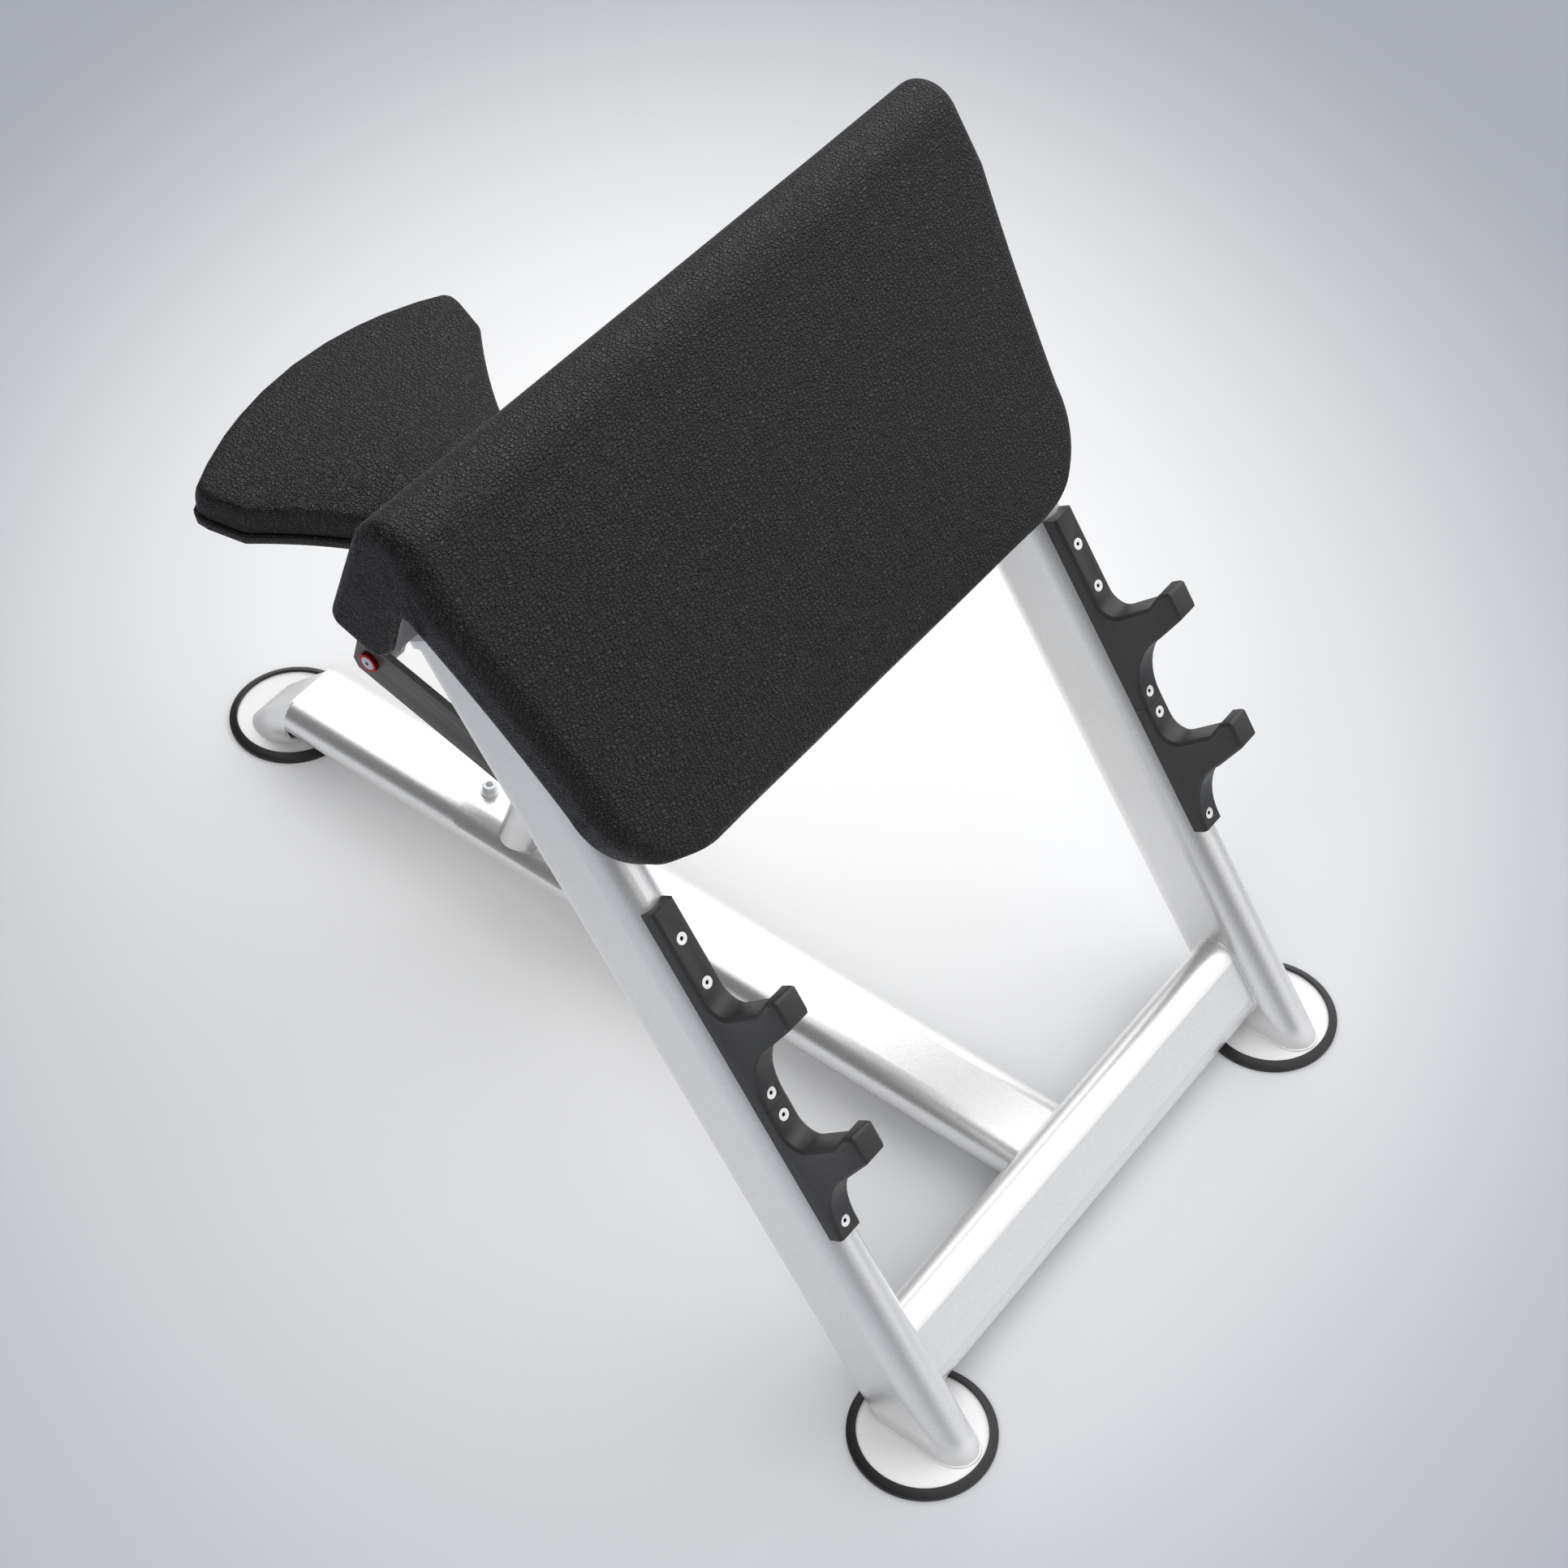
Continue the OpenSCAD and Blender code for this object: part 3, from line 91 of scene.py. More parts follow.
def colour(name, hex_code, description):
    return FloatVectorProperty(name=name, description=description, default=linear(hex_code), size=4,
        min=0.0, max=1.0, subtype="COLOR")


class BenchFrameSizes(bpy.types.PropertyGroup):
    leg_lean: angle("Leg angle", 55.2, "Angle of the legs and of the arm pad's panel above the floor")
    leg_x: size("Leg centre", 0.3175, "Distance of a leg's centre from the bench's middle")
    leg_n: size("Leg depth line", 0.00342428,
        "Distance of the legs' centre line from the floor line, square to the legs")
    tube_w: size("Tube width", 0.100, "Long side of the flat-oval tube")
    tube_t: size("Tube thickness", 0.050, "Short side of the flat-oval tube")
    crossbar_at: size("Crossbar place", 0.0808, "Position of the front crossbar up the leg")
    spine_z: size("Spine height", 0.052, "Height of the spine tube's centre")
    plate_top: size("Foot plate top", 0.006, "Height of the foot plates' top above the floor")
    weld: size("Weld bead", 0.0015, "Radius of a weld bead", 0.0005, 0.006)
    weld_pitch: size("Weld ripple", 0.004, "Distance between the ripples of a weld bead", 0.001, 0.02)


class BenchFeetSizes(bpy.types.PropertyGroup):
    front_x: size("Front foot centre", 0.323, "Distance of a front foot's centre from the middle")
    rear_y: size("Rear foot centre", 1.136, "Distance of the rear foot behind the front feet line")
    outer: size("Ring outer radius", 0.075, "Outer radius of a rubber foot ring")
    lip: size("Ring inner radius", 0.0655, "Inner radius of the ring's raised band")
    hole: size("Ring hole radius", 0.0605, "Radius of the hole under the foot plate")
    height: size("Ring height", 0.0105, "Height of a rubber foot ring")
    wall: size("Ring wall", 0.005, "Height of the ring's straight outer wall")
    easing: size("Edge rounding", 0.0007, "Radius of the ring's moulded edges", 0.0, 0.002)


class BenchScrewSizes(bpy.types.PropertyGroup):
    head: size("Head diameter", 0.012, "Head diameter of a countersunk catch screw")
    shank: size("Shank diameter", 0.006, "Shank diameter of a catch screw")
    socket: size("Socket width", 0.004, "Width across the flats of the hexagon socket")
    depth: size("Socket depth", 0.0036, "Depth of the hexagon socket")
    length: size("Screw length", 0.025, "Length of a catch screw with its head")
    strip_n: size("Strip face", 0.0654243,
        "Distance of the catch strip's face from the floor line, square to the leg")


class BenchPadSizes(bpy.types.PropertyGroup):
    low: size("Lower edge", 0.6764, "Position of the pad's lower edge up the leg")
    length: size("Panel length", 0.4685, "Length of the panel from its lower edge to the sharp ridge")
    half: size("Half width", 0.3945, "Half of the pad's width at the ridge")
    thick: size("Thickness", 0.058, "Thickness of the panel")
    back_n: size("Back face", 0.0537243,
        "Distance of the panel's back from the floor line, square to the leg")
    taper: FloatProperty(name="Taper", default=0.162, min=0.0, max=0.5,
        description="How much narrower each side gets per length below the kink")
    kink: size("Kink", 0.1435, "Distance from the sharp ridge down to where the sides draw in")
    corner_r: size("Corner radius", 0.100, "Radius of the panel's lower corners")
    edge_r: size("Edge radius", 0.018, "Rounding along the lower edge and the lip's end")
    back_r: size("Back radius", 0.0145, "Rounding of the back edges and of the lip's ends")
    end_r: size("End radius", 0.024, "Rounding of the panel's ends")
    ridge_r: size("Ridge radius", 0.042, "Rounding of the ridge")
    inner_r: size("Inner radius", 0.008, "Rounding inside the wedge")
    lip_len: size("Lip length", 0.212, "Length of the lip from the sharp ridge")
    lip_t: size("Lip thickness", 0.070, "Thickness of the lip")
    lip_lean: angle("Lip lean", 18.5, "Lean of the lip's face from straight down")
    draw: size("Drawn sides", 0.002, "How far the sides are drawn in between their corners")
    crown: size("Crown", 0.003, "Rise of the panel's middle")
    back_short: size("Back shortening", 0.014, "How much sooner the back's sides draw in than the front's")
    board_inset: size("Board inset", 0.013, "Distance of the backing board from the pad's edges")
    board_sink: size("Board sink", 0.0025, "How far the vinyl lies under the backing board's face")
    step: size("Grid step", 0.008, "Spacing of the skin's points before the cloth pass", 0.003, 0.03)
    cap: size("Cloth movement", 0.005, "Farthest that the cloth pass may move a point", 0.001, 0.016)


class BenchSeatSizes(bpy.types.PropertyGroup):
    place_y: size("Seat place", 0.957, "Distance of the seat's origin behind the front feet line")
    place_z: size("Seat height", 0.574, "Height of the seat's origin")
    tilt: angle("Tilt", 8.5, "Backward rise of the seat")
    width: size("Width", 0.384, "Width of the seat at its rear corners")
    rear: size("Rear length", 0.106, "Length of the seat behind its origin")
    front: size("Front length", 0.208, "Length of the seat in front of its origin")
    nose_w: size("Nose width", 0.158, "Width of the seat's nose")
    nose_r: size("Nose radius", 0.045, "Radius of the nose's corners")
    nose_len: size("Nose length", 0.055, "Length of the nose before the sides flare out")
    side_in: size("Side inset", 0.013, "How far the sides stand in from the rear corners")
    corner_len: size("Corner length", 0.047, "Length of a rear corner and depth of the rear curve")
    corner_r: size("Corner rounding", 0.005, "Size of the rear corners' rounding")
    pad_t: size("Cushion thickness", 0.038, "Thickness of the cushion")
    shell_t: size("Shell thickness", 0.0165, "Thickness of the seat's base shell")
    crown: size("Crown", 0.005, "Rise of the cushion's middle")
    step: size("Grid step", 0.006, "Spacing of the skin's points before the cloth pass", 0.003, 0.03)
    cap: size("Cloth movement", 0.005, "Farthest that the cloth pass may move a point", 0.001, 0.016)


class BenchGripSizes(bpy.types.PropertyGroup):
    ribs: IntProperty(name="Ribs", default=11, min=3, max=30,
        description="Number of moulded ribs round the lever's grip")
    thick: size("Rib thickness", 0.0014, "Thickness of a rib", 0.0003, 0.004)


class BenchColours(bpy.types.PropertyGroup):
    silver: colour("Frame", "#f3f3f3", "Silver powder coat of the frame")
    silver_flake: colour("Frame flake", "#e6e6e6", "Darker flakes of the silver powder coat")
    vinyl: colour("Vinyl", "#0d0d0d", "Top of the vinyl's pebbles")
    # Painted shade: the creases' colour is darker than the pebbles' tops
    vinyl_crease_shade: colour("Vinyl creases", "#030303", "Creases between the pebbles")
    board: colour("Backing cloth", "#77777a", "Woven cloth over the pad's backing board")
    plastic: colour("Catch plastic", "#2d2d2d", "Wear plastic of the bar catches")
    rubber: colour("Rubber", "#161616", "Moulded rubber of the feet and the grip")
    link: colour("Link coat", "#484848", "Dark grey powder coat of the links")
    red: colour("Red ring", "#c22824", "Red anodised ring of the pivot caps")


class BenchStageLook(bpy.types.PropertyGroup):
    # Painted pool of light: the floor's colour is pale under the bench and darker away from it
    near: colour("Floor middle", "#f4f4f4", "Pale floor under the bench")
    far: colour("Floor edge", "#999ca3", "Floor away from the bench")
    reach: size("Floor fade", 1.38, "Distance over which the floor's tone falls", 0.5, 10.0)
    top_power: FloatProperty(name="Top light", default=81.0, min=0.0, max=1000.0,
        description="Power of the overhead soft light")
    fill: FloatProperty(name="Fill", default=1.3, min=0.0, max=2.0,
        description="Strength of the light from all round")


# Meshes and pieces


def new_piece(name, mesh, body, slot, replaces=()):
    """Takes a mesh into the scene as a piece of the bench that rides on a body, in its slot's material."""
    mesh.name = name
    mesh.materials.clear()
    mesh.materials.append(finish_of(slot))
    piece = bpy.data.objects.new(name, mesh)
    bpy.context.scene.collection.objects.link(piece)
    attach(piece, body)
    if replaces:
        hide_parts(*replaces)
    return piece


def closed_mesh(name, points, faces):
    """A smooth mesh in metres from points in the sizes' frame, with its faces turned outwards."""
    mesh = bpy.data.meshes.new(name)
    mesh.from_pydata([(x, y - MID_LENGTH, z) for x, y, z in points], [], faces)
    work = bmesh.new()
    work.from_mesh(mesh)
    bmesh.ops.remove_doubles(work, verts=work.verts, dist=SAME_POINT)
    bmesh.ops.recalc_face_normals(work, faces=work.faces)
    for face in work.faces:
        face.smooth = True
    work.to_mesh(mesh)
    work.free()
    return mesh


def settled(obj):
    """The object's mesh with its modifiers applied; the object itself goes."""
    graph = bpy.context.evaluated_depsgraph_get()
    graph.update()
    mesh = bpy.data.meshes.new_from_object(obj.evaluated_get(graph), depsgraph=graph)
    bpy.data.objects.remove(obj)
    return mesh


def loose(name, mesh):
    """An object that only carries a mesh while its modifiers are worked out."""
    obj = bpy.data.objects.new(name, mesh)
    bpy.context.scene.collection.objects.link(obj)
    return obj


# Edges that turn more than this are eased
SHARP = math.radians(32)
# Flat neighbours that turn less than this are one face
FLAT = math.radians(0.6)


def eased_copy(node, width):
    """A CAD node's solid with its sharp edges eased, as a moulded or deburred edge is."""
    work = bmesh.new()
    work.from_mesh(frame["nodes"][node].data)
    bmesh.ops.remove_doubles(work, verts=work.verts, dist=2 * SAME_POINT)
    bmesh.ops.dissolve_limit(work, angle_limit=FLAT, verts=work.verts, edges=work.edges)
    for face in work.faces:
        face.smooth = True
    mesh = bpy.data.meshes.new(node + "_eased")
    work.to_mesh(mesh)
    work.free()
    obj = loose("easing", mesh)
    bevel = obj.modifiers.new("easing", "BEVEL")
    bevel.width = width
    bevel.segments = 2
    bevel.limit_method = "ANGLE"
    bevel.angle_limit = SHARP
    bevel.harden_normals = True
    return settled(obj)


# Node trees


def add_node(tree, kind, inputs=None, **settings):
    """One node with its settings. An input is a value, a socket, a node for its first output, or a list."""
    node = tree.nodes.new(kind)
    for name, value in settings.items():
        setattr(node, name, value)
    for key, value in (inputs or {}).items():
        for source in value if isinstance(value, list) else [value]:
            if isinstance(source, bpy.types.Node):
                source = source.outputs[0]
            if isinstance(source, bpy.types.NodeSocket):
                tree.links.new(source, node.inputs[key])
            else:
                node.inputs[key].default_value = source
    return node


def blank_material(name):
    """A material, what adds a node to it, and the Object coordinates that its patterns lie in."""
    material = bpy.data.materials.new(name)
    material.use_nodes = True
    material.node_tree.nodes.clear()
    add = partial(add_node, material.node_tree)
    return material, add, add("ShaderNodeTexCoord").outputs["Object"]


def finished(material, add, skin):
    """Ends a material with its one surface."""
    surface = add("ShaderNodeBsdfPrincipled", skin)
    add("ShaderNodeOutputMaterial", {"Surface": surface})
    return material


def geometry_tree(name, numbers):
    """A Geometry Nodes tree, what adds a node to it, and its inputs: a geometry and the named numbers."""
    tree = bpy.data.node_groups.new(name, "GeometryNodeTree")
    tree.interface.new_socket("Geometry", in_out="INPUT", socket_type="NodeSocketGeometry")
    for number in numbers:
        tree.interface.new_socket(number, in_out="INPUT", socket_type="NodeSocketFloat")
    tree.interface.new_socket("Geometry", in_out="OUTPUT", socket_type="NodeSocketGeometry")
    return tree, partial(add_node, tree), tree.nodes.new("NodeGroupInput")


def end_tree(add, geometry, material):
    """Ends a tree as the export needs it: real faces with their material."""
    real = add("GeometryNodeRealizeInstances", {"Geometry": geometry})
    painted = add("GeometryNodeSetMaterial", {"Geometry": real, "Material": material})
    add("NodeGroupOutput", {0: painted})


def end_copies(add, given, shape, material, turn=(0.0, 0.0, 0.0)):
    """Ends a tree with a copy of the shape on each of its points."""
    spots = add("GeometryNodeMeshToPoints", {"Mesh": given.outputs["Geometry"]})
    copies = add("GeometryNodeInstanceOnPoints", {"Points": spots, "Instance": shape, "Rotation": turn})
    end_tree(add, copies, material)


def grown(name, points, edges, tree, numbers):
    """Runs a Geometry Nodes tree on points or paths in the sizes' frame and gives the plain mesh."""
    mesh = bpy.data.meshes.new(name)
    mesh.from_pydata([(x, y - MID_LENGTH, z) for x, y, z in points], edges, [])
    obj = loose(name + "_path", mesh)
    modifier = obj.modifiers.new("grow", "NODES")
    modifier.node_group = tree
    for item in tree.interface.items_tree:
        if item.in_out == "INPUT" and item.name in numbers:
            modifier[item.identifier] = numbers[item.name]
    return settled(obj)


# Materials


def silver_powder_coat(colours):
    """Polyester powder coat with aluminium flake, sprayed dry and baked."""
    # Satin sheen with a bright soft highlight; the flake is 0.1 mm and drawn at 1.1 mm so that it shows
    material, add, place = blank_material("silver_powder_coat")
    flake = add(NOISE, {"Vector": place, "Scale": 900.0, "Detail": 3.0, "Roughness": 0.7})
    spread = add(MAP_RANGE, {"Value": flake, "From Min": 0.38, "From Max": 0.62})
    tone = add(MIX, {0: spread, 6: colours.silver_flake, 7: colours.silver}, data_type="RGBA")
    # Below 18 mm, on the foot plates, it is rougher, darker and less metallic than on the tubes
    parts = add("ShaderNodeSeparateXYZ", {0: place})
    plate_share = add(MAP_RANGE, {"Value": parts.outputs["Z"], "From Min": 0.03, "From Max": 0.018})
    plate_tone = add(MIX, {0: plate_share, 6: tone.outputs[2], 7: linear("#dcdcdd")}, data_type="RGBA")
    satin = add(MAP_RANGE, {"Value": flake, "To Min": 0.24, "To Max": 0.35})
    gloss = add(MATH, {0: plate_share, 1: 0.25, 2: satin}, operation="MULTIPLY_ADD")
    sheen = add(MAP_RANGE, {"Value": plate_share, "To Min": 0.82, "To Max": 0.3})
    # Orange peel of the baked film, about 3 mm from crest to crest
    peel = add(NOISE, {"Vector": place, "Scale": 330.0, "Detail": 1.0})
    grit = add(BUMP, {"Height": flake, "Strength": 0.22, "Distance": 0.0004})
    bump = add(BUMP, {"Height": peel, "Strength": 0.12, "Distance": 0.0006, "Normal": grit})
    return finished(material, add, {"Base Color": plate_tone.outputs[2], "Metallic": sheen, "Roughness": gloss,
        "Normal": bump})


def pebbled_vinyl(name, colours, grain, depth):
    """PVC-coated upholstery cloth, embossed with a pebble grain and pulled tight over foam."""
    # Almost black; its grey is a satin sheen that breaks up into pebbles where it turns from the light.
    # The real pebbles are about 2.4 mm and are drawn a little coarser, so that they show
    material, add, place = blank_material(name)
    wander = add(NOISE, {"Vector": place, "Scale": 0.2 / grain, "Detail": 1.0})
    sway = add(VECTOR_MATH, {0: wander.outputs["Color"], 1: (0.5, 0.5, 0.5)}, operation="SUBTRACT")
    push = add(VECTOR_MATH, {0: sway, 3: 3.0 * grain}, operation="SCALE")
    bent = add(VECTOR_MATH, {0: place, 1: push}, operation="ADD")
    # Pebbles two thirds longer across the bench than up the panel
    cells = add("ShaderNodeMapping", {"Vector": bent, "Scale": (0.6 / grain, 1.0 / grain, 1.0 / grain)})
    edge = add("ShaderNodeTexVoronoi", {"Vector": cells, "Scale": 1.0, "Randomness": 0.62},
               feature="DISTANCE_TO_EDGE")
    pebble = add(MAP_RANGE, {"Value": edge.outputs["Distance"], "From Min": 0.02, "From Max": 0.3},
        interpolation_type="SMOOTHSTEP")
    # Painted shade: the creases between the pebbles are coloured darker than the pebbles' tops
    tone = add(MIX, {0: pebble, 6: colours.vinyl_crease_shade, 7: colours.vinyl}, data_type="RGBA")
    gloss = add(MAP_RANGE, {"Value": pebble, "To Min": 0.6, "To Max": 0.34})
    bump = add(BUMP, {"Height": pebble, "Strength": 1.0, "Distance": depth})
    return finished(material, add, {"Base Color": tone.outputs[2], "Roughness": gloss, "Normal": bump,
        "Specular IOR Level": 0.44})


def backing_cloth(colours):
    """Woven polyester cloth glued over the backing board."""
    # Flat grey plain weave; threads 0.5 mm apart are drawn at 2 mm and 2.6 mm so that they show
    warp_gap, weft_gap = 0.002, 0.0026
    material, add, place = blank_material("backing_cloth")
    parts = add("ShaderNodeSeparateXYZ", {0: place})
    height = add(MATH, {0: parts.outputs["Y"], 1: parts.outputs["Z"]}, operation="ADD")
    warp = add(MATH, {0: parts.outputs["X"], 1: math.tau / warp_gap}, operation="MULTIPLY")
    weft = add(MATH, {0: height, 1: math.tau / weft_gap}, operation="MULTIPLY")
    over = add(MATH, {0: warp}, operation="SINE")
    under = add(MATH, {0: weft}, operation="SINE")
    weave = add(MATH, {0: over, 1: under}, operation="MULTIPLY")
    fuzz = add(NOISE, {"Vector": place, "Scale": 260.0, "Detail": 3.0})
    high = add(MATH, {0: weave, 1: fuzz}, operation="ADD")
    level = add(MAP_RANGE, {"Value": high, "From Min": -0.6, "From Max": 1.6})
    tone = add(MIX, {0: level, 6: linear("#606063"), 7: colours.board}, data_type="RGBA")
    bump = add(BUMP, {"Height": level, "Strength": 0.6, "Distance": 0.0005})
    return finished(material, add, {"Base Color": tone.outputs[2], "Roughness": 0.92, "Normal": bump,
        "Sheen Weight": 0.2})


def moulded(name, high, low, roughness, grain, strength):
    """A moulded plastic or rubber, or a dull coat: one colour, slightly cloudy, with a fine even texture."""
    material, add, place = blank_material(name)
    spark = add(NOISE, {"Vector": place, "Scale": 1.0 / grain, "Detail": 4.0, "Roughness": 0.6})
    cloud = add(NOISE, {"Vector": place, "Scale": 14.0, "Detail": 2.0})
    both = add(MATH, {0: spark, 1: cloud}, operation="ADD")
    level = add(MAP_RANGE, {"Value": both, "From Min": 0.7, "From Max": 1.3})
    tone = add(MIX, {0: level, 6: low, 7: high}, data_type="RGBA")
    gloss = add(MAP_RANGE, {"Value": spark, "To Min": roughness + 0.08, "To Max": roughness - 0.08})
    bump = add(BUMP, {"Height": spark, "Strength": strength, "Distance": 0.0003})
    return finished(material, add, {"Base Color": tone.outputs[2], "Roughness": gloss, "Normal": bump})


def metal(name, high, low, roughness, lines, stretch, metallic=1.0):
    """Bare or plated metal with the fine marks of how it was turned, drawn or brushed."""
    material, add, place = blank_material(name)
    along = add("ShaderNodeMapping", {"Vector": place, "Scale": stretch})
    marks = add(NOISE, {"Vector": along, "Scale": 1.0 / lines, "Detail": 4.0, "Roughness": 0.65})
    tone = add(MIX, {0: marks, 6: low, 7: high}, data_type="RGBA")
    gloss = add(MAP_RANGE, {"Value": marks, "To Min": roughness - 0.07, "To Max": roughness + 0.1})
    bump = add(BUMP, {"Height": marks, "Strength": 0.12, "Distance": 0.0002})
    return finished(material, add, {"Base Color": tone.outputs[2], "Metallic": metallic, "Roughness": gloss,
        "Normal": bump})


def nickel_plate_socket_shade(legs, screws):
    """Nickel plate on the catch screws' heads, with painted shade darkening the deep hexagon sockets."""
    # Almost white heads down to 0.4 mm under the strip's face; painted shade makes the socket dark grey from
    # 1.5 mm down
    material, add, place = blank_material("nickel_plate_socket_shade")
    out = leg_axes(legs)[1]
    rise = add(VECTOR_MATH, {0: place, 1: (0.0, out[0], out[1])}, operation="DOT_PRODUCT")
    face = screws.strip_n - MID_LENGTH * out[0]
    depth = add(MATH, {0: face, 1: rise.outputs["Value"]}, operation="SUBTRACT")
    # plated is 1 on the head and 0 deep in the socket; the socket's dark grey below is painted shade
    plated = add(MAP_RANGE, {"Value": depth, "From Min": 0.0015, "From Max": 0.0004})
    grain = add(NOISE, {"Vector": place, "Scale": 1600.0, "Detail": 3.0})
    white = add(MIX, {0: grain, 6: linear("#e2e2e3"), 7: linear("#f6f6f6")}, data_type="RGBA")
    tone = add(MIX, {0: plated, 6: linear("#2e2e2e"), 7: white.outputs[2]}, data_type="RGBA")
    gloss = add(MAP_RANGE, {"Value": grain, "To Min": 0.36, "To Max": 0.5})
    return finished(material, add, {"Base Color": tone.outputs[2], "Metallic": 0.45, "Roughness": gloss})


FINISHES = {}


def finish_of(slot):
    """The material of a record slot, made once."""
    if slot in FINISHES:
        return FINISHES[slot]
    colours = bpy.context.scene.bench_colours
    even = (1.0, 1.0, 1.0)
    # Function, name, light and dark tone, roughness and pattern size in metres, then a moulded one's bump
    # strength or a metal's stretch of the pattern and how metallic it is
    makers = {
        # Moulded natural rubber: black, with a satin sheen from the mould
        "rubber": (moulded, "moulded_rubber", colours.rubber, linear("#101010"), 0.42, 0.0009, 0.3),
        "frame_paint": (silver_powder_coat, colours),
        # Moulded polyamide with a spark-eroded texture: satin black
        "catch_plastic": (moulded, "moulded_polyamide", colours.plastic, linear("#252525"), 0.48,
            0.0008, 0.25),
        "screw_steel": (nickel_plate_socket_shade, bpy.context.scene.bench_frame, bpy.context.scene.bench_screws),
        "vinyl": (pebbled_vinyl, "pebbled_vinyl", colours, 0.0030, 0.0016),
        "pad_backing": (backing_cloth, colours),
        # Zinc-plated steel: bright with a faint blue-grey cast
        "bright_steel": (metal, "zinc_plate", linear("#f0f1f2"), linear("#dcdee0"), 0.38, 0.0008,
            (0.2, 1.0, 1.0), 0.4),
        # Moulded nylon: black, a little glossy
        "black_plastic": (moulded, "moulded_nylon", linear("#161616"), linear("#0e0e0e"), 0.4, 0.0008, 0.15),
        # Dipped soft rubber with moulded ribs
        "grip_rubber": (moulded, "grip_rubber", colours.rubber, linear("#131313"), 0.7, 0.0012, 0.5),
        # Fine-texture polyester powder coat: dark grey, satin
        "link_paint": (moulded, "dark_powder_coat", colours.link, linear("#3a3a3a"), 0.42, 0.0011, 0.35),
        # Anodised aluminium dyed red: metallic with a clear satin gloss
        "red_anodised": (metal, "red_anodised_aluminium", colours.red, linear("#a31815"), 0.3, 0.0007, even),
        # Turned aluminium disc: fine marks, pale
        "cap_aluminium": (metal, "turned_aluminium", linear("#c9ccd6"), linear("#a9adb8"), 0.36,
            0.0005, even),
        # Grey powder coat on the carriage's plates and tubes
        "carriage_paint": (moulded, "grey_powder_coat", linear("#b4b5b7"), linear("#a2a3a6"), 0.42,
            0.0011, 0.3),
        # The same vinyl with a finer emboss
        "seat_shell": (pebbled_vinyl, "pebbled_vinyl_fine", colours, 0.0026, 0.0010),
        # Stove enamel on the spring's steel tube: black and glossy
        "spring_black": (moulded, "stove_enamel", linear("#141414"), linear("#0d0d0d"), 0.22, 0.002, 0.08),
    }
    make, *given = makers[slot]
    FINISHES[slot] = make(*given)
    return FINISHES[slot]


def paint_nodes(*slots):
    """Gives the CAD nodes of these slots their materials."""
    for node, slot in SLOT_OF.items():
        if slot in slots:
            for place in frame["nodes"][node].material_slots:
                place.material = finish_of(slot)


# The frame's own directions: up a leg and square to it, as (y, z)


def leg_axes(sizes):
    up = np.array([math.cos(sizes.leg_lean), math.sin(sizes.leg_lean)])
    return up, np.array([-up[1], up[0]])


# Straight pieces that each rounded side of the tube's outline is drawn with
OVAL_STEPS = 14


def flat_oval(width, thick):
    """Outline of the flat-oval tube, its long side first."""
    r = thick / 2
    c = width / 2 - r
    turns = [math.pi * (i / OVAL_STEPS - 0.5) for i in range(OVAL_STEPS + 1)]
    right = [(c + r * math.cos(a), r * math.sin(a)) for a in turns]
    return right + [(-x, -y) for x, y in right]


def weld_paths(sizes):
    """Closed paths of the fillet welds: legs on their plates, crossbar on the legs, spine on the crossbar."""
    up, out = leg_axes(sizes)
    oval = flat_oval(sizes.tube_w, sizes.tube_t)
    paths = []
    for side in (-1, 1):
        foot = []
        for long, short in oval:
            n = sizes.leg_n + long
            s = (sizes.plate_top - n * out[1]) / up[1]
            foot.append((side * sizes.leg_x + short, *(s * up + n * out)))
        paths.append(foot)
        wall = side * (sizes.leg_x - sizes.tube_t / 2)
        bar = [(sizes.crossbar_at + long, sizes.leg_n + short) for long, short in oval]
        paths.append([(wall, *(s * up + n * out)) for s, n in bar])
    face = sizes.leg_n - sizes.tube_t / 2
    spine = [(long, sizes.spine_z + short) for long, short in oval]
    paths.append([(x, (z * out[1] - face) / up[1], z) for x, z in spine])
    return paths


# Length of the straight pieces along a weld bead
WELD_STEP = 0.0015


def weld_tree(material):
    """A round bead along each path, with the ripples that the welding torch leaves."""
    tree, add, given = geometry_tree("weld_bead", ("Radius", "Ripple"))
    path = add("GeometryNodeMeshToCurve", {"Mesh": given.outputs["Geometry"]})
    even = add("GeometryNodeResampleCurve", {"Curve": path, "Length": WELD_STEP}, mode="LENGTH")
    ring = add("GeometryNodeCurvePrimitiveCircle", {"Resolution": 8, "Radius": given.outputs["Radius"]})
    bead = add("GeometryNodeCurveToMesh", {"Curve": even, "Profile Curve": ring})
    pitch = add(MATH, {0: 1.0, 1: given.outputs["Ripple"]}, operation="DIVIDE")
    wave = add(NOISE, {"Scale": pitch, "Detail": 1.0})
    level = add(MATH, {0: wave, 1: 0.5}, operation="SUBTRACT")
    amount = add(MATH, {0: level, 1: given.outputs["Radius"]}, operation="MULTIPLY")
    normal = add("GeometryNodeInputNormal")
    push = add(VECTOR_MATH, {0: normal, 3: amount}, operation="SCALE")
    rippled = add("GeometryNodeSetPosition", {"Geometry": bead, "Offset": push})
    smooth = add("GeometryNodeSetShadeSmooth", {"Geometry": rippled})
    end_tree(add, smooth, material)
    return tree


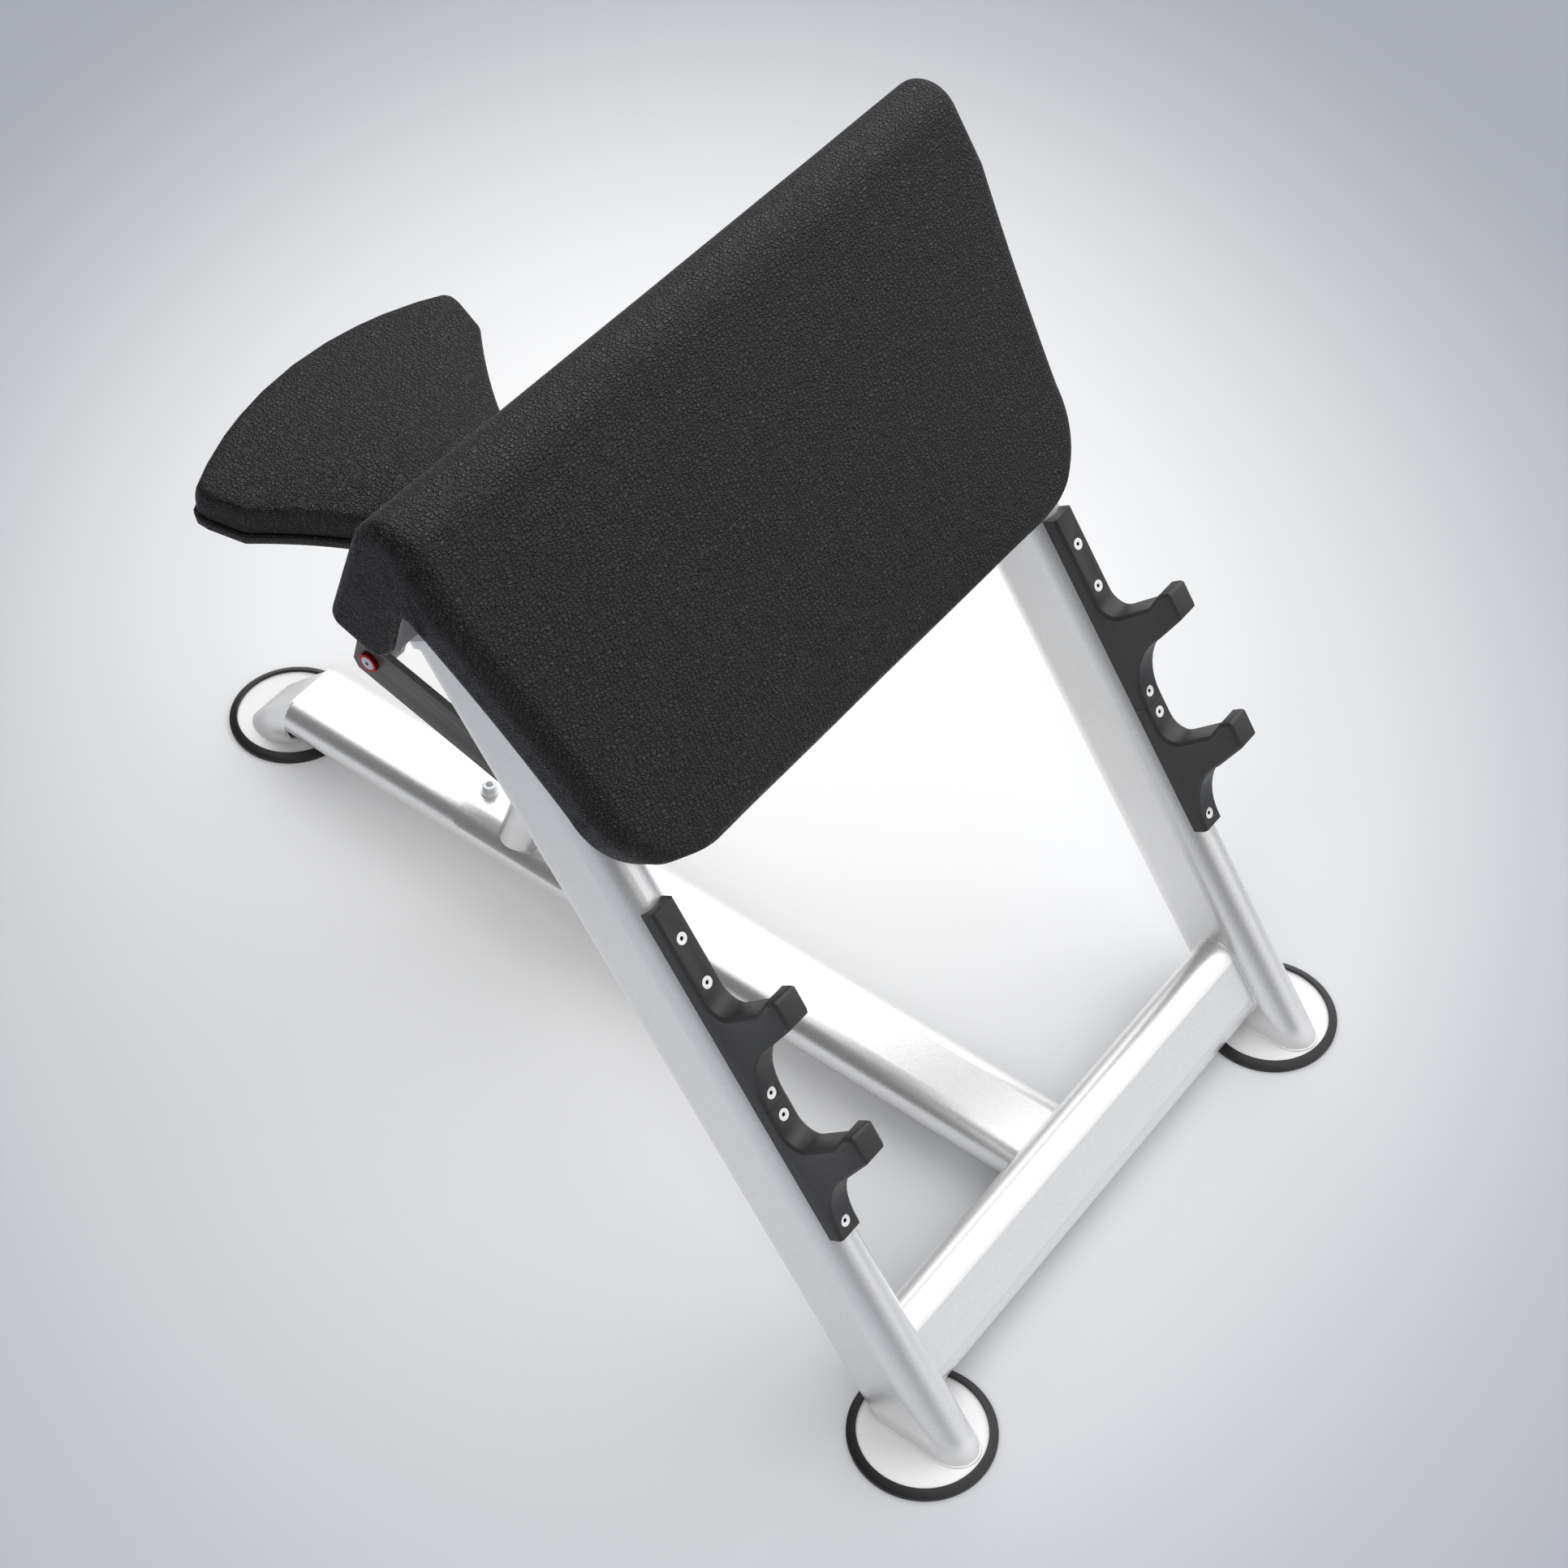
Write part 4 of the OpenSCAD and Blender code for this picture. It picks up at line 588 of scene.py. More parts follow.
class BENCH_OT_frame(bpy.types.Operator):
    """Coat the legs, crossbar, spine, post and saddle, and lay weld beads where the legs meet their plates
    and the crossbar, and where the spine meets the crossbar
    """

    bl_idname = "bench.frame"
    bl_label = "Frame"

    def execute(self, context):
        sizes = context.scene.bench_frame
        paint_nodes("frame_paint")
        points, edges = [], []
        for path in weld_paths(sizes):
            first, n = len(points), len(path)
            points += path
            edges += [(first + i, first + (i + 1) % n) for i in range(n)]
        numbers = {"Radius": sizes.weld, "Ripple": sizes.weld_pitch}
        mesh = grown("weld_beads", points, edges, weld_tree(finish_of("frame_paint")), numbers)
        new_piece("weld_beads", mesh, "frame", "frame_paint")
        return {"FINISHED"}


# As good as nothing: closes a section's corners, and makes its turning axis
SPECK = 0.00001
# Thickness of a foot plate, which lies on the ring's inner step
FOOT_PLATE = 0.004
FOOT_RINGS = ("foot_ring_left", "foot_ring_right", "foot_ring_rear")


def foot_tree(material):
    """A ring turned from its section, set down at each foot."""
    tree, add, given = geometry_tree("foot_ring", ("Outer", "Lip", "Hole", "Height", "Wall", "Seat",
        "Easing"))
    corners = (("Hole", None), ("Outer", None), ("Outer", "Wall"), ("Lip", "Height"), ("Lip", "Seat"),
        ("Hole", "Seat"))
    points = []
    for across, high in corners:
        spot = {0: given.outputs[across]}
        if high:
            spot[1] = given.outputs[high]
        points.append(add("ShaderNodeCombineXYZ", spot))
    lines = [add("GeometryNodeCurvePrimitiveLine", {"Start": start, "End": end})
             for start, end in zip(points, points[1:] + points[:1])]
    sides = [add("GeometryNodeCurveToMesh", {"Curve": line}) for line in lines]
    joined = add("GeometryNodeJoinGeometry", {0: sides})
    merged = add("GeometryNodeMergeByDistance", {"Geometry": joined, "Distance": SPECK})
    section = add("GeometryNodeMeshToCurve", {"Mesh": merged})
    eased = add("GeometryNodeFilletCurve", {"Curve": section, "Count": 4, "Radius": given.outputs["Easing"],
        "Limit Radius": True}, mode="POLY")
    axis = add("GeometryNodeCurvePrimitiveCircle", {"Resolution": 128, "Radius": SPECK})
    ring = add("GeometryNodeCurveToMesh", {"Curve": axis, "Profile Curve": eased})
    upright = add("GeometryNodeTransform", {"Geometry": ring, "Rotation": (math.pi, 0.0, 0.0)})
    smooth = add("GeometryNodeSetShadeSmooth", {"Geometry": upright})
    end_copies(add, given, smooth, material)
    return tree


class BENCH_OT_feet(bpy.types.Operator):
    """Mould the three rubber foot rings round their coated steel plates"""

    bl_idname = "bench.feet"
    bl_label = "Feet"

    def execute(self, context):
        sizes = context.scene.bench_feet
        spots = [(-sizes.front_x, 0.0, 0.0), (sizes.front_x, 0.0, 0.0), (0.0, sizes.rear_y, 0.0)]
        numbers = {"Outer": sizes.outer, "Lip": sizes.lip, "Hole": sizes.hole, "Height": sizes.height,
            "Wall": sizes.wall, "Seat": context.scene.bench_frame.plate_top - FOOT_PLATE,
            "Easing": sizes.easing}
        mesh = grown("foot_rings", spots, [], foot_tree(finish_of("rubber")), numbers)
        new_piece("foot_rings", mesh, "frame", "rubber", FOOT_RINGS)
        return {"FINISHED"}


# The dish round a screw's socket, as a share of the socket's radius, and its depth
DISH_SHARE, DISH_DEPTH = 1.45, 0.0003


def screw_tree(material):
    """A countersunk screw with a hexagon socket, turned to stand square to the leg at each point."""
    tree, add, given = geometry_tree("countersunk_screw", ("Head", "Shank", "Socket", "Depth", "Length",
        "Lean"))
    half = {n: add(MATH, {0: given.outputs[n], 1: 0.5}, operation="MULTIPLY")
            for n in ("Head", "Shank")}
    drop = add(MATH, {0: half["Head"], 1: half["Shank"]}, operation="SUBTRACT")
    head = add("GeometryNodeMeshCone", {"Vertices": 40, "Radius Top": half["Head"],
        "Radius Bottom": half["Shank"], "Depth": drop})
    sink = add(MATH, {0: drop, 1: -1.0}, operation="MULTIPLY")
    under = add("ShaderNodeCombineXYZ", {2: sink})
    seated = add("GeometryNodeTransform", {"Geometry": head, "Translation": under})
    stem_len = add(MATH, {0: given.outputs["Length"], 1: drop}, operation="SUBTRACT")
    stem = add("GeometryNodeMeshCylinder", {"Vertices": 40, "Radius": half["Shank"], "Depth": stem_len})
    middle = add(MATH, {0: stem_len, 1: -0.5, 2: sink}, operation="MULTIPLY_ADD")
    below = add("ShaderNodeCombineXYZ", {2: middle})
    sunk = add("GeometryNodeTransform", {"Geometry": stem, "Translation": below})
    both = add("GeometryNodeJoinGeometry", {0: [seated, sunk]})
    corner = add(MATH, {0: given.outputs["Socket"], 1: 0.5 / math.cos(math.pi / 6)}, operation="MULTIPLY")
    twice = add(MATH, {0: given.outputs["Depth"], 1: 2.0}, operation="MULTIPLY")
    key = add("GeometryNodeMeshCylinder", {"Vertices": 6, "Radius": corner, "Depth": twice})
    # A dished rim round the socket, as the forging leaves it
    rim = add(MATH, {0: corner, 1: DISH_SHARE}, operation="MULTIPLY")
    dish = add("GeometryNodeMeshCylinder", {"Vertices": 32, "Radius": rim, "Depth": 2 * DISH_DEPTH})
    cut = add("GeometryNodeMeshBoolean", {"Mesh 1": both, "Mesh 2": key}, operation="DIFFERENCE")
    cut = add("GeometryNodeMeshBoolean", {"Mesh 1": cut, "Mesh 2": dish}, operation="DIFFERENCE")
    flat = add("GeometryNodeSetShadeSmooth", {"Geometry": cut, "Shade Smooth": False})
    turn = add("ShaderNodeCombineXYZ", {0: given.outputs["Lean"]})
    end_copies(add, given, flat, material, turn)
    return tree


# Places of a leg's catch screws, up the leg from the floor line
CATCH_SCREWS = (0.282, 0.411, 0.437, 0.566, 0.616)
CATCHES = ("upper_catch_left", "lower_catch_left", "upper_catch_right", "lower_catch_right")
# Roundings of the catches' moulded edges and of the links' deburred ones
CATCH_EASING, LINK_EASING = 0.0007, 0.0006


class BENCH_OT_catches(bpy.types.Operator):
    """Ease the moulded bar catches and drive their ten countersunk screws"""

    bl_idname = "bench.catches"
    bl_label = "Bar catches"

    def execute(self, context):
        for node in CATCHES:
            new_piece("moulded_" + node, eased_copy(node, CATCH_EASING), "frame", "catch_plastic", (node,))
        legs, sizes = context.scene.bench_frame, context.scene.bench_screws
        up, out = leg_axes(legs)
        spots = [(side * legs.leg_x, *(s * up + sizes.strip_n * out)) for side in (-1, 1)
            for s in CATCH_SCREWS]
        numbers = {"Head": sizes.head, "Shank": sizes.shank, "Socket": sizes.socket, "Depth": sizes.depth,
                   "Length": sizes.length, "Lean": legs.leg_lean}
        mesh = grown("catch_screws", spots, [], screw_tree(finish_of("screw_steel")), numbers)
        new_piece("catch_screws", mesh, "frame", "screw_steel", ("catch_screws_left", "catch_screws_right"))
        return {"FINISHED"}


# Soft pieces


# Frames of the cloth pass, and how often its movement is shared with the neighbours
CLOTH_FRAMES, SHARINGS = 20, 24
# How far each skin is drawn in before the cloth pass presses it out again
PAD_DRAWN_IN, SEAT_DRAWN_IN = 0.0018, 0.0012


def pressed_out(obj, held, cap):
    """Lets a skin swell under pressure with its held points fixed; no point moves farther than cap."""
    group = obj.vertex_groups.new(name="held")
    group.add([int(i) for i in np.flatnonzero(held)], 1.0, "REPLACE")
    cloth = obj.modifiers.new("skin", "CLOTH")
    rules = cloth.settings
    rules.use_pressure = True
    rules.uniform_pressure_force = 4.0
    rules.effector_weights.gravity = 0.0
    rules.vertex_group_mass = group.name
    rules.tension_stiffness = rules.compression_stiffness = 30.0
    rules.bending_stiffness = 5.0
    cloth.point_cache.frame_start, cloth.point_cache.frame_end = 1, CLOTH_FRAMES
    for number in range(1, CLOTH_FRAMES + 1):
        bpy.context.scene.frame_set(number)
    rest = np.empty(len(obj.data.vertices) * 3)
    obj.data.vertices.foreach_get("co", rest)
    graph = bpy.context.evaluated_depsgraph_get()
    swollen = np.empty_like(rest)
    obj.evaluated_get(graph).data.vertices.foreach_get("co", swollen)
    obj.modifiers.remove(cloth)
    obj.vertex_groups.remove(group)
    rest, move = rest.reshape(-1, 3), (swollen - rest).reshape(-1, 3)
    # Foam under the vinyl evens the swelling out, so the movement is shared with the neighbours
    ends = np.array([edge.vertices for edge in obj.data.edges])
    count = np.bincount(ends.ravel(), minlength=len(rest))[:, None]
    for _ in range(SHARINGS):
        near = np.zeros_like(move)
        np.add.at(near, ends[:, 0], move[ends[:, 1]])
        np.add.at(near, ends[:, 1], move[ends[:, 0]])
        move = np.where(held[:, None], 0.0, near / count)
    length = np.linalg.norm(move, axis=1, keepdims=True)
    # Scaled as a whole instead of stopped one by one, so that no edge of the stop shows
    move *= min(1.0, cap / float(length.max()))
    obj.data.vertices.foreach_set("co", (rest + move).ravel())
    obj.data.update()
    bpy.context.scene.frame_set(1)
    print(obj.name, "moved by up to", round(float(length.max()) * 1000, 1),
        "mm in the cloth pass, before the cap")


def skinned(name, mesh, held, shrink, cap):
    """The mesh drawn in a little, pressed out again by cloth and subdivided once."""
    obj = loose(name, mesh)
    points = np.array([v.co for v in mesh.vertices])
    normals = np.array([v.normal for v in mesh.vertices])
    mesh.vertices.foreach_set("co", (points - normals * shrink * (~held)[:, None]).ravel())
    pressed_out(obj, held, cap)
    finer = obj.modifiers.new("finer", "SUBSURF")
    finer.levels = finer.render_levels = 1
    finer.use_limit_surface = False
    return settled(obj)


# Stations along the panel, where they start above the edge's rounding, and steps round the ridge
PANEL_STATIONS, PANEL_START, RIDGE_STEPS = 44, 0.006, 18
# The vinyl starts to dip this far outside the board's edge
BOARD_MARGIN = 0.001
# Faces between front and back along the section's ends and the wedge's ends
RUNGS = 6


def pad_section(sizes, legs):
    """Stations of the pad's section from the lower edge over the ridge to the lip's end, on face and back:
    place 0-1, outward direction 2-3, half width 4, share of the crown 5, end radius 6, board under it 7."""
    up, out = leg_axes(legs)
    lean = sizes.lip_lean
    down, away = np.array([math.sin(lean), -math.cos(lean)]), np.array([math.cos(lean), math.sin(lean)])
    wedge = math.pi / 2 - legs.leg_lean + lean
    face_n = sizes.back_n + sizes.thick
    top_s = sizes.low + sizes.length
    ridge = top_s * up + face_n * out
    kink = top_s - sizes.kink
    corner = sizes.low + sizes.corner_r

    def panel(s, n):
        return s * up + n * out

    def lip(t, depth):
        return ridge + t * down - depth * away

    def under(a, b):
        return ridge + (a * down - b * up) / math.sin(wedge)

    def half_at(s):
        t = min(s, kink)
        drawn = sizes.draw * math.sin(math.pi * (t - corner) / (kink - corner)) if t > corner else 0.0
        straight = sizes.half - sizes.taper * (kink - max(t, corner)) - drawn
        d = max(0.0, corner - t)
        return straight - sizes.corner_r + math.sqrt(max(0.0, sizes.corner_r**2 - d * d))

    front, back = [], []

    def put(line, place, way, half, crown, r, board=0.0):
        line.append([*place, *way, half, crown, r, board])

    quarter = [math.radians(a) for a in range(0, 91, 10)]
    for a in quarter:
        s = sizes.low + sizes.edge_r * (1 - math.cos(a))
        put(front, panel(s, face_n - sizes.edge_r * (1 - math.sin(a))), -math.cos(a) * up + math.sin(a) * out,
            half_at(s), 0.0, sizes.end_r)
        s = sizes.low + sizes.back_r * (1 - math.cos(a))
        put(back, panel(s, sizes.back_n + sizes.back_r * (1 - math.sin(a))),
            -math.cos(a) * up - math.sin(a) * out, half_at(s), 0.0, sizes.back_r)
    board_low = sizes.low + sizes.board_inset - BOARD_MARGIN
    for s in np.linspace(sizes.low + sizes.edge_r + PANEL_START, kink, PANEL_STATIONS):
        put(front, panel(s, face_n), out, half_at(s), math.sin(math.pi * (s - sizes.low) / sizes.length),
            sizes.end_r)
        t = s - sizes.back_short * (s - sizes.low) / (kink - sizes.low)
        put(back, panel(t, sizes.back_n), -out, half_at(t), 0.0, sizes.back_r, float(t > board_low))
    hub = ridge + sizes.ridge_r / math.sin(wedge / 2) * (down - up) / np.linalg.norm(down - up)
    inner = under(sizes.thick + sizes.inner_r, sizes.lip_t + sizes.inner_r)
    for j in range(RIDGE_STEPS + 1):
        f = math.pi / 2 + legs.leg_lean - j / RIDGE_STEPS * (math.pi - wedge)
        way = np.array([math.cos(f), math.sin(f)])
        put(front, hub + sizes.ridge_r * way, way, sizes.half, 0.0,
            sizes.end_r + (sizes.back_r - sizes.end_r) * j / RIDGE_STEPS)
        put(back, inner + sizes.inner_r * way, -way, sizes.half, 0.0, sizes.back_r, 1.0)
    end = sizes.lip_len - sizes.edge_r
    face_from = sizes.ridge_r / math.tan(wedge / 2)
    back_from = float((inner - ridge) @ down)
    for t in (0.25, 0.75):
        put(front, lip(face_from * (1 - t) + end * t, 0.0), away, sizes.half, 0.0, sizes.back_r)
        put(back, lip(back_from * (1 - t) + end * t, sizes.lip_t), -away, sizes.half, 0.0, sizes.back_r, 1.0)
    for a in quarter:
        t = sizes.lip_len - sizes.edge_r * (1 - math.sin(a))
        deep = sizes.edge_r * (1 - math.cos(a))
        put(front, lip(t, deep), math.cos(a) * away + math.sin(a) * down, sizes.half, 0.0, sizes.back_r)
        put(back, lip(t, sizes.lip_t - deep), -math.cos(a) * away + math.sin(a) * down, sizes.half, 0.0,
            sizes.back_r, float(t < sizes.lip_len - sizes.board_inset + BOARD_MARGIN))
    return np.array(front), np.array(back)


def evened(front, back, step):
    """Both lines with points no farther apart than step, still in pairs."""
    lines = [[], []]
    for i in range(len(front) - 1):
        reach = max(np.linalg.norm(line[i + 1, :2] - line[i, :2]) for line in (front, back))
        count = max(1, math.ceil(reach / step))
        for line, made in zip((front, back), lines):
            made += [line[i] + (line[i + 1] - line[i]) * j / count for j in range(count)]
    for line, made in zip((front, back), lines):
        made.append(line[-1])
    front, back = (np.array(made) for made in lines)
    for line in (front, back):
        line[:, 2:4] /= np.linalg.norm(line[:, 2:4], axis=1, keepdims=True)
    return front, back


def pad_points(line, u, b, sizes):
    """The line's points at share u of the half width, b round the end edge; the back dips under its board."""
    half, crown, r, board = line[:, 4], line[:, 5], line[:, 6], line[:, 7]
    x = u * (half - r + r * math.sin(b))
    lift = crown * sizes.crown * (1 - u * u) - r * (1 - math.cos(b))
    covered = (board > 0.5) & (np.abs(x) < half - sizes.board_inset + BOARD_MARGIN)
    lift = lift - sizes.board_sink * covered
    place = line[:, :2] + lift[:, None] * line[:, 2:4]
    return np.column_stack([x, place]), covered


def pad_mesh(sizes, legs):
    """The wedge as an even grid of quads: rings round the section and a ladder over each end."""
    front, back = evened(*pad_section(sizes, legs), sizes.step)
    k = len(front)
    turns = [math.radians(a) for a in range(0, 91, 15)]
    inner = np.linspace(-1, 1, 2 * round(sizes.half / sizes.step) - 1)
    across = [(-1.0, b) for b in reversed(turns)] + [(u, 0.0) for u in inner[1:-1]]
    across += [(1.0, b) for b in turns]
    rings, masks = [], []
    shares = np.arange(1, RUNGS)[:, None] / RUNGS
    for u, b in across:
        (face, none), (rear, covered) = pad_points(front, u, b, sizes), pad_points(back, u, b, sizes)
        tip = face[-1] + (rear[-1] - face[-1]) * shares
        low = rear[0] + (face[0] - rear[0]) * shares
        rings.append(np.vstack([face, tip, rear[::-1], low]))
        gap = np.zeros(RUNGS - 1, bool)
        masks.append(np.concatenate([none, gap, covered[::-1], gap]))
    m = len(rings[0])
    points, held = np.vstack(rings), np.concatenate(masks)
    faces = [(r * m + i, r * m + (i + 1) % m, (r + 1) * m + (i + 1) % m, (r + 1) * m + i)
             for r in range(len(rings) - 1) for i in range(m)]
    extra = []
    for r in (0, len(rings) - 1):
        ring, start = rings[r], r * m

        def at(i, j, base=len(points) + len(extra), start=start):
            """Point i along the ladder and j across it; its rails and ends are the ring's own points."""
            if j == 0:
                return start + i
            if j == RUNGS:
                return start + 2 * k + RUNGS - 2 - i
            if i == k - 1:
                return start + k - 1 + j
            if i == 0:
                return start + 2 * k + RUNGS - 1 + (RUNGS - 1 - j)
            return base + (i - 1) * (RUNGS - 1) + j - 1

        for i in range(1, k - 1):
            a, c = ring[i], ring[2 * k + RUNGS - 2 - i]
            extra += list(a + (c - a) * shares)
        faces += [(at(i, j), at(i + 1, j), at(i + 1, j + 1), at(i, j + 1)) for i in range(k - 1)
            for j in range(RUNGS)]
    points = np.vstack([points, np.array(extra)])
    held = np.concatenate([held, np.zeros(len(extra), bool)])
    return closed_mesh("arm_pad_skin", points, faces), held


class BENCH_OT_arm_pad(bpy.types.Operator):
    """Stretch pebbled vinyl over the wedge's foam by a cloth pass, and cover its backing board"""

    bl_idname = "bench.arm_pad"
    bl_label = "Arm pad"

    def execute(self, context):
        sizes = context.scene.bench_pad
        mesh, held = pad_mesh(sizes, context.scene.bench_frame)
        if len(mesh.vertices) != len(held):
            raise RuntimeError("the arm pad's grid has doubled points, so its held points are unknown")
        mesh = skinned("arm_pad_work", mesh, held, PAD_DRAWN_IN, sizes.cap)
        pad = new_piece("arm_pad_cover", mesh, "frame", "vinyl", ("arm_pad",))
        paint_nodes("pad_backing")
        return {"FINISHED"}


def seat_line(sizes):
    """The seat's outline, from the nose round both sides, with points no farther apart than its step."""
    half, nose = sizes.width / 2, sizes.nose_w / 2
    flare_from = -sizes.front + sizes.nose_len
    side, corner_v, r = half - sizes.side_in, sizes.rear - sizes.corner_len, sizes.corner_r
    rear_r = (half**2 + sizes.corner_len**2) / (2 * sizes.corner_len)
    line = [(0.0, -sizes.front)]
    for i in range(10):
        a = math.radians(-90 + 10 * i)
        line.append((nose - sizes.nose_r + sizes.nose_r * math.cos(a),
            -sizes.front + sizes.nose_r * (1 + math.sin(a))))
    line += [(nose + (side - nose) * (i / 12) ** 1.5, flare_from * (1 - i / 12)) for i in range(13)]
    line += [(half - 0.2 * r, corner_v - 4 * r), (half, corner_v - 1.4 * r), (half - r, corner_v + 0.4 * r)]
    line += [(x * half, sizes.rear - rear_r + math.sqrt(rear_r**2 - (x * half) ** 2))
        for x in (0.82, 0.62, 0.46, 0.25)]
    line.append((0.0, sizes.rear))
    line += [(-x, v) for x, v in line[-2:0:-1]]
    made = []
    for a, b in zip(line, line[1:] + line[:1]):
        a, b = np.array(a), np.array(b)
        count = max(1, math.ceil(np.linalg.norm(b - a) / sizes.step))
        made += [a + (b - a) * j / count for j in range(count)]
    return np.array(made)


# The seat's rings shrink towards a point this share of its front length ahead of its origin
SEAT_CENTRE = 0.25


def seat_loft(name, sizes, levels):
    """A form through levels [height, inset, share of the outline's size], closed by a fan at each end."""
    line = seat_line(sizes)
    ahead = np.roll(line, -1, 0) - line
    ahead /= np.linalg.norm(ahead, axis=1, keepdims=True)
    behind = np.roll(ahead, 1, 0)
    inward = np.column_stack([-ahead[:, 1] - behind[:, 1], ahead[:, 0] + behind[:, 0]])
    inward /= 1 + (ahead * behind).sum(1)[:, None]
    centre = np.array([0.0, -sizes.front * SEAT_CENTRE])
    rings = [np.column_stack([centre + s * (line + d * inward - centre), np.full(len(line), h)])
        for h, d, s in levels]
    n = len(line)
    flat = np.vstack([*rings, [[*centre, levels[0][0]], [*centre, levels[-1][0]]]])
    faces = [(k * n + i, k * n + (i + 1) % n, (k + 1) * n + (i + 1) % n, (k + 1) * n + i)
             for k in range(len(rings) - 1) for i in range(n)]
    low, high = len(flat) - 2, (len(rings) - 1) * n
    faces += [(low, (i + 1) % n, i) for i in range(n)]
    faces += [(low + 1, high + i, high + (i + 1) % n) for i in range(n)]
    c, s = math.cos(sizes.tilt), math.sin(sizes.tilt)
    points = np.column_stack([flat[:, 0], sizes.place_y + flat[:, 1] * c - flat[:, 2] * s,
        sizes.place_z + flat[:, 1] * s + flat[:, 2] * c])
    return closed_mesh(name, points, faces), flat[:, 2]


class BENCH_OT_seat(bpy.types.Operator):
    """Stretch the seat cushion's vinyl by a cloth pass and wrap the shell under it"""

    bl_idname = "bench.seat"
    bl_label = "Seat"

    def execute(self, context):
        sizes = context.scene.bench_seat
        t, shell, crown = sizes.pad_t, sizes.shell_t, sizes.crown
        # From the underside's middle out, up the rounded side, and over the crowned top to its middle
        levels = [[-t + 0.0001, 0.004, s] for s in (0.1, 0.25, 0.4, 0.55, 0.7, 0.82, 0.92)]
        levels += [[-t + 0.0001, 0.004, 1], [-t + 0.002, 0.0012, 1], [-t + 0.006, 0, 1],
            [-0.75 * t, -0.0006, 1], [-0.5 * t, -0.001, 1], [-0.36 * t, -0.0006, 1], [-0.008, 0, 1],
            [-0.003, 0.002, 1], [-0.0008, 0.0055, 1]]
        levels += [[crown * math.sin(math.pi / 2 * (1 - s)), 0.010, s]
                   for s in (1, 0.96, 0.91, 0.85, 0.79, 0.72, 0.65, 0.58, 0.5, 0.42, 0.34, 0.25, 0.16, 0.08)]
        mesh, height = seat_loft("seat_skin", sizes, levels)
        held = height < -t + 0.004
        mesh = skinned("seat_work", mesh, held, SEAT_DRAWN_IN, sizes.cap)
        cushion = new_piece("seat_cover", mesh, "carriage", "vinyl", ("seat_cushion",))
        low = -t - shell
        levels = [[low, 0.006, s] for s in (0.12, 0.5, 0.8, 0.95)]
        levels += [[low, 0.006, 1], [low + 0.0004, 0.004, 1], [low + 0.0014, 0.0022, 1],
            [low + 0.004, 0.0002, 1], [low + 0.008, -0.0006, 1], [-t - 0.003, -0.001, 1],
            [-t - 0.0016, -0.0004, 1], [-t - 0.0008, 0.0008, 1], [-t - 0.0004, 0.0022, 1]]
        levels += [[-t - 0.0003, 0.005, s] for s in (1, 0.95, 0.8, 0.5, 0.12)]
        mesh, height = seat_loft("seat_shell_skin", sizes, levels)
        new_piece("seat_shell_cover", mesh, "carriage", "seat_shell", ("seat_board",))
        return {"FINISHED"}


# The linkage


LINKS = {"lower_link_left": "lower_link", "lower_link_right": "lower_link",
         "upper_link_left": "upper_link", "upper_link_right": "upper_link"}


class BENCH_OT_linkage(bpy.types.Operator):
    """Coat the four links and ease their edges, and finish their pins, rings and discs"""

    bl_idname = "bench.linkage"
    bl_label = "Linkage"

    def execute(self, context):
        for node, body in LINKS.items():
            new_piece("coated_" + node, eased_copy(node, LINK_EASING), body, "link_paint", (node,))
        paint_nodes("link_paint", "red_anodised", "cap_aluminium", "bright_steel", "black_plastic")
        return {"FINISHED"}


# The ribbed stretch of the grip, as shares of its length
RIBBED = (0.12, 0.88)


def rib_tree(material):
    """Round ribs on a line of points."""
    tree, add, given = geometry_tree("grip_ribs", ("Radius", "Thickness"))
    path = add("GeometryNodeCurvePrimitiveCircle", {"Resolution": 40, "Radius": given.outputs["Radius"]})
    section = add("GeometryNodeCurvePrimitiveCircle", {"Resolution": 8, "Radius": given.outputs["Thickness"]})
    rib = add("GeometryNodeCurveToMesh", {"Curve": path, "Profile Curve": section})
    smooth = add("GeometryNodeSetShadeSmooth", {"Geometry": rib})
    end_copies(add, given, smooth, material, (0.0, math.pi / 2, 0.0))
    return tree


class BENCH_OT_carriage(bpy.types.Operator):
    """Coat the seat's carriage, finish the gas spring and rib the release lever's grip"""

    bl_idname = "bench.carriage"
    bl_label = "Carriage and spring"

    def execute(self, context):
        paint_nodes("carriage_paint", "spring_black", "grip_rubber", "rubber")
        sizes = context.scene.bench_grip
        low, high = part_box("lever_grip")
        middle = (low + high) / 2
        radius = (high.z - low.z) / 2
        first, last = (low.x + (high.x - low.x) * share for share in RIBBED)
        spots = [(first + (last - first) * i / (sizes.ribs - 1), middle.y + MID_LENGTH, middle.z)
                 for i in range(sizes.ribs)]
        numbers = {"Radius": radius - sizes.thick, "Thickness": sizes.thick}
        mesh = grown("grip_ribs", spots, [], rib_tree(finish_of("grip_rubber")), numbers)
        new_piece("grip_ribs", mesh, "release_lever", "grip_rubber")
        return {"FINISHED"}


FLOOR_HALF = 14.0
# The pool of light painted into the floor's colour is longer along the line of sight, so that it looks round
# from the camera
POOL_CENTRE, POOL_TURN, POOL_SHAPE = (0.41, 0.24, 0.0), math.radians(52.8), (1.0, 0.752, 1.0)
# The side that the light from all round comes from
BRIGHT_SIDE = (0.72, -0.22, 0.658)
# Place, width, share of the top light's power, and whether reflections show it
LAMPS = {"soft_box": ((1.2, 0.3, 3.2), 6.0, 1.0, True), "left_fill": ((-2.4, -1.2, 2.6), 2.6, 0.8, False)}
LAMP_TARGET = (0.0, 0.0, 0.3)
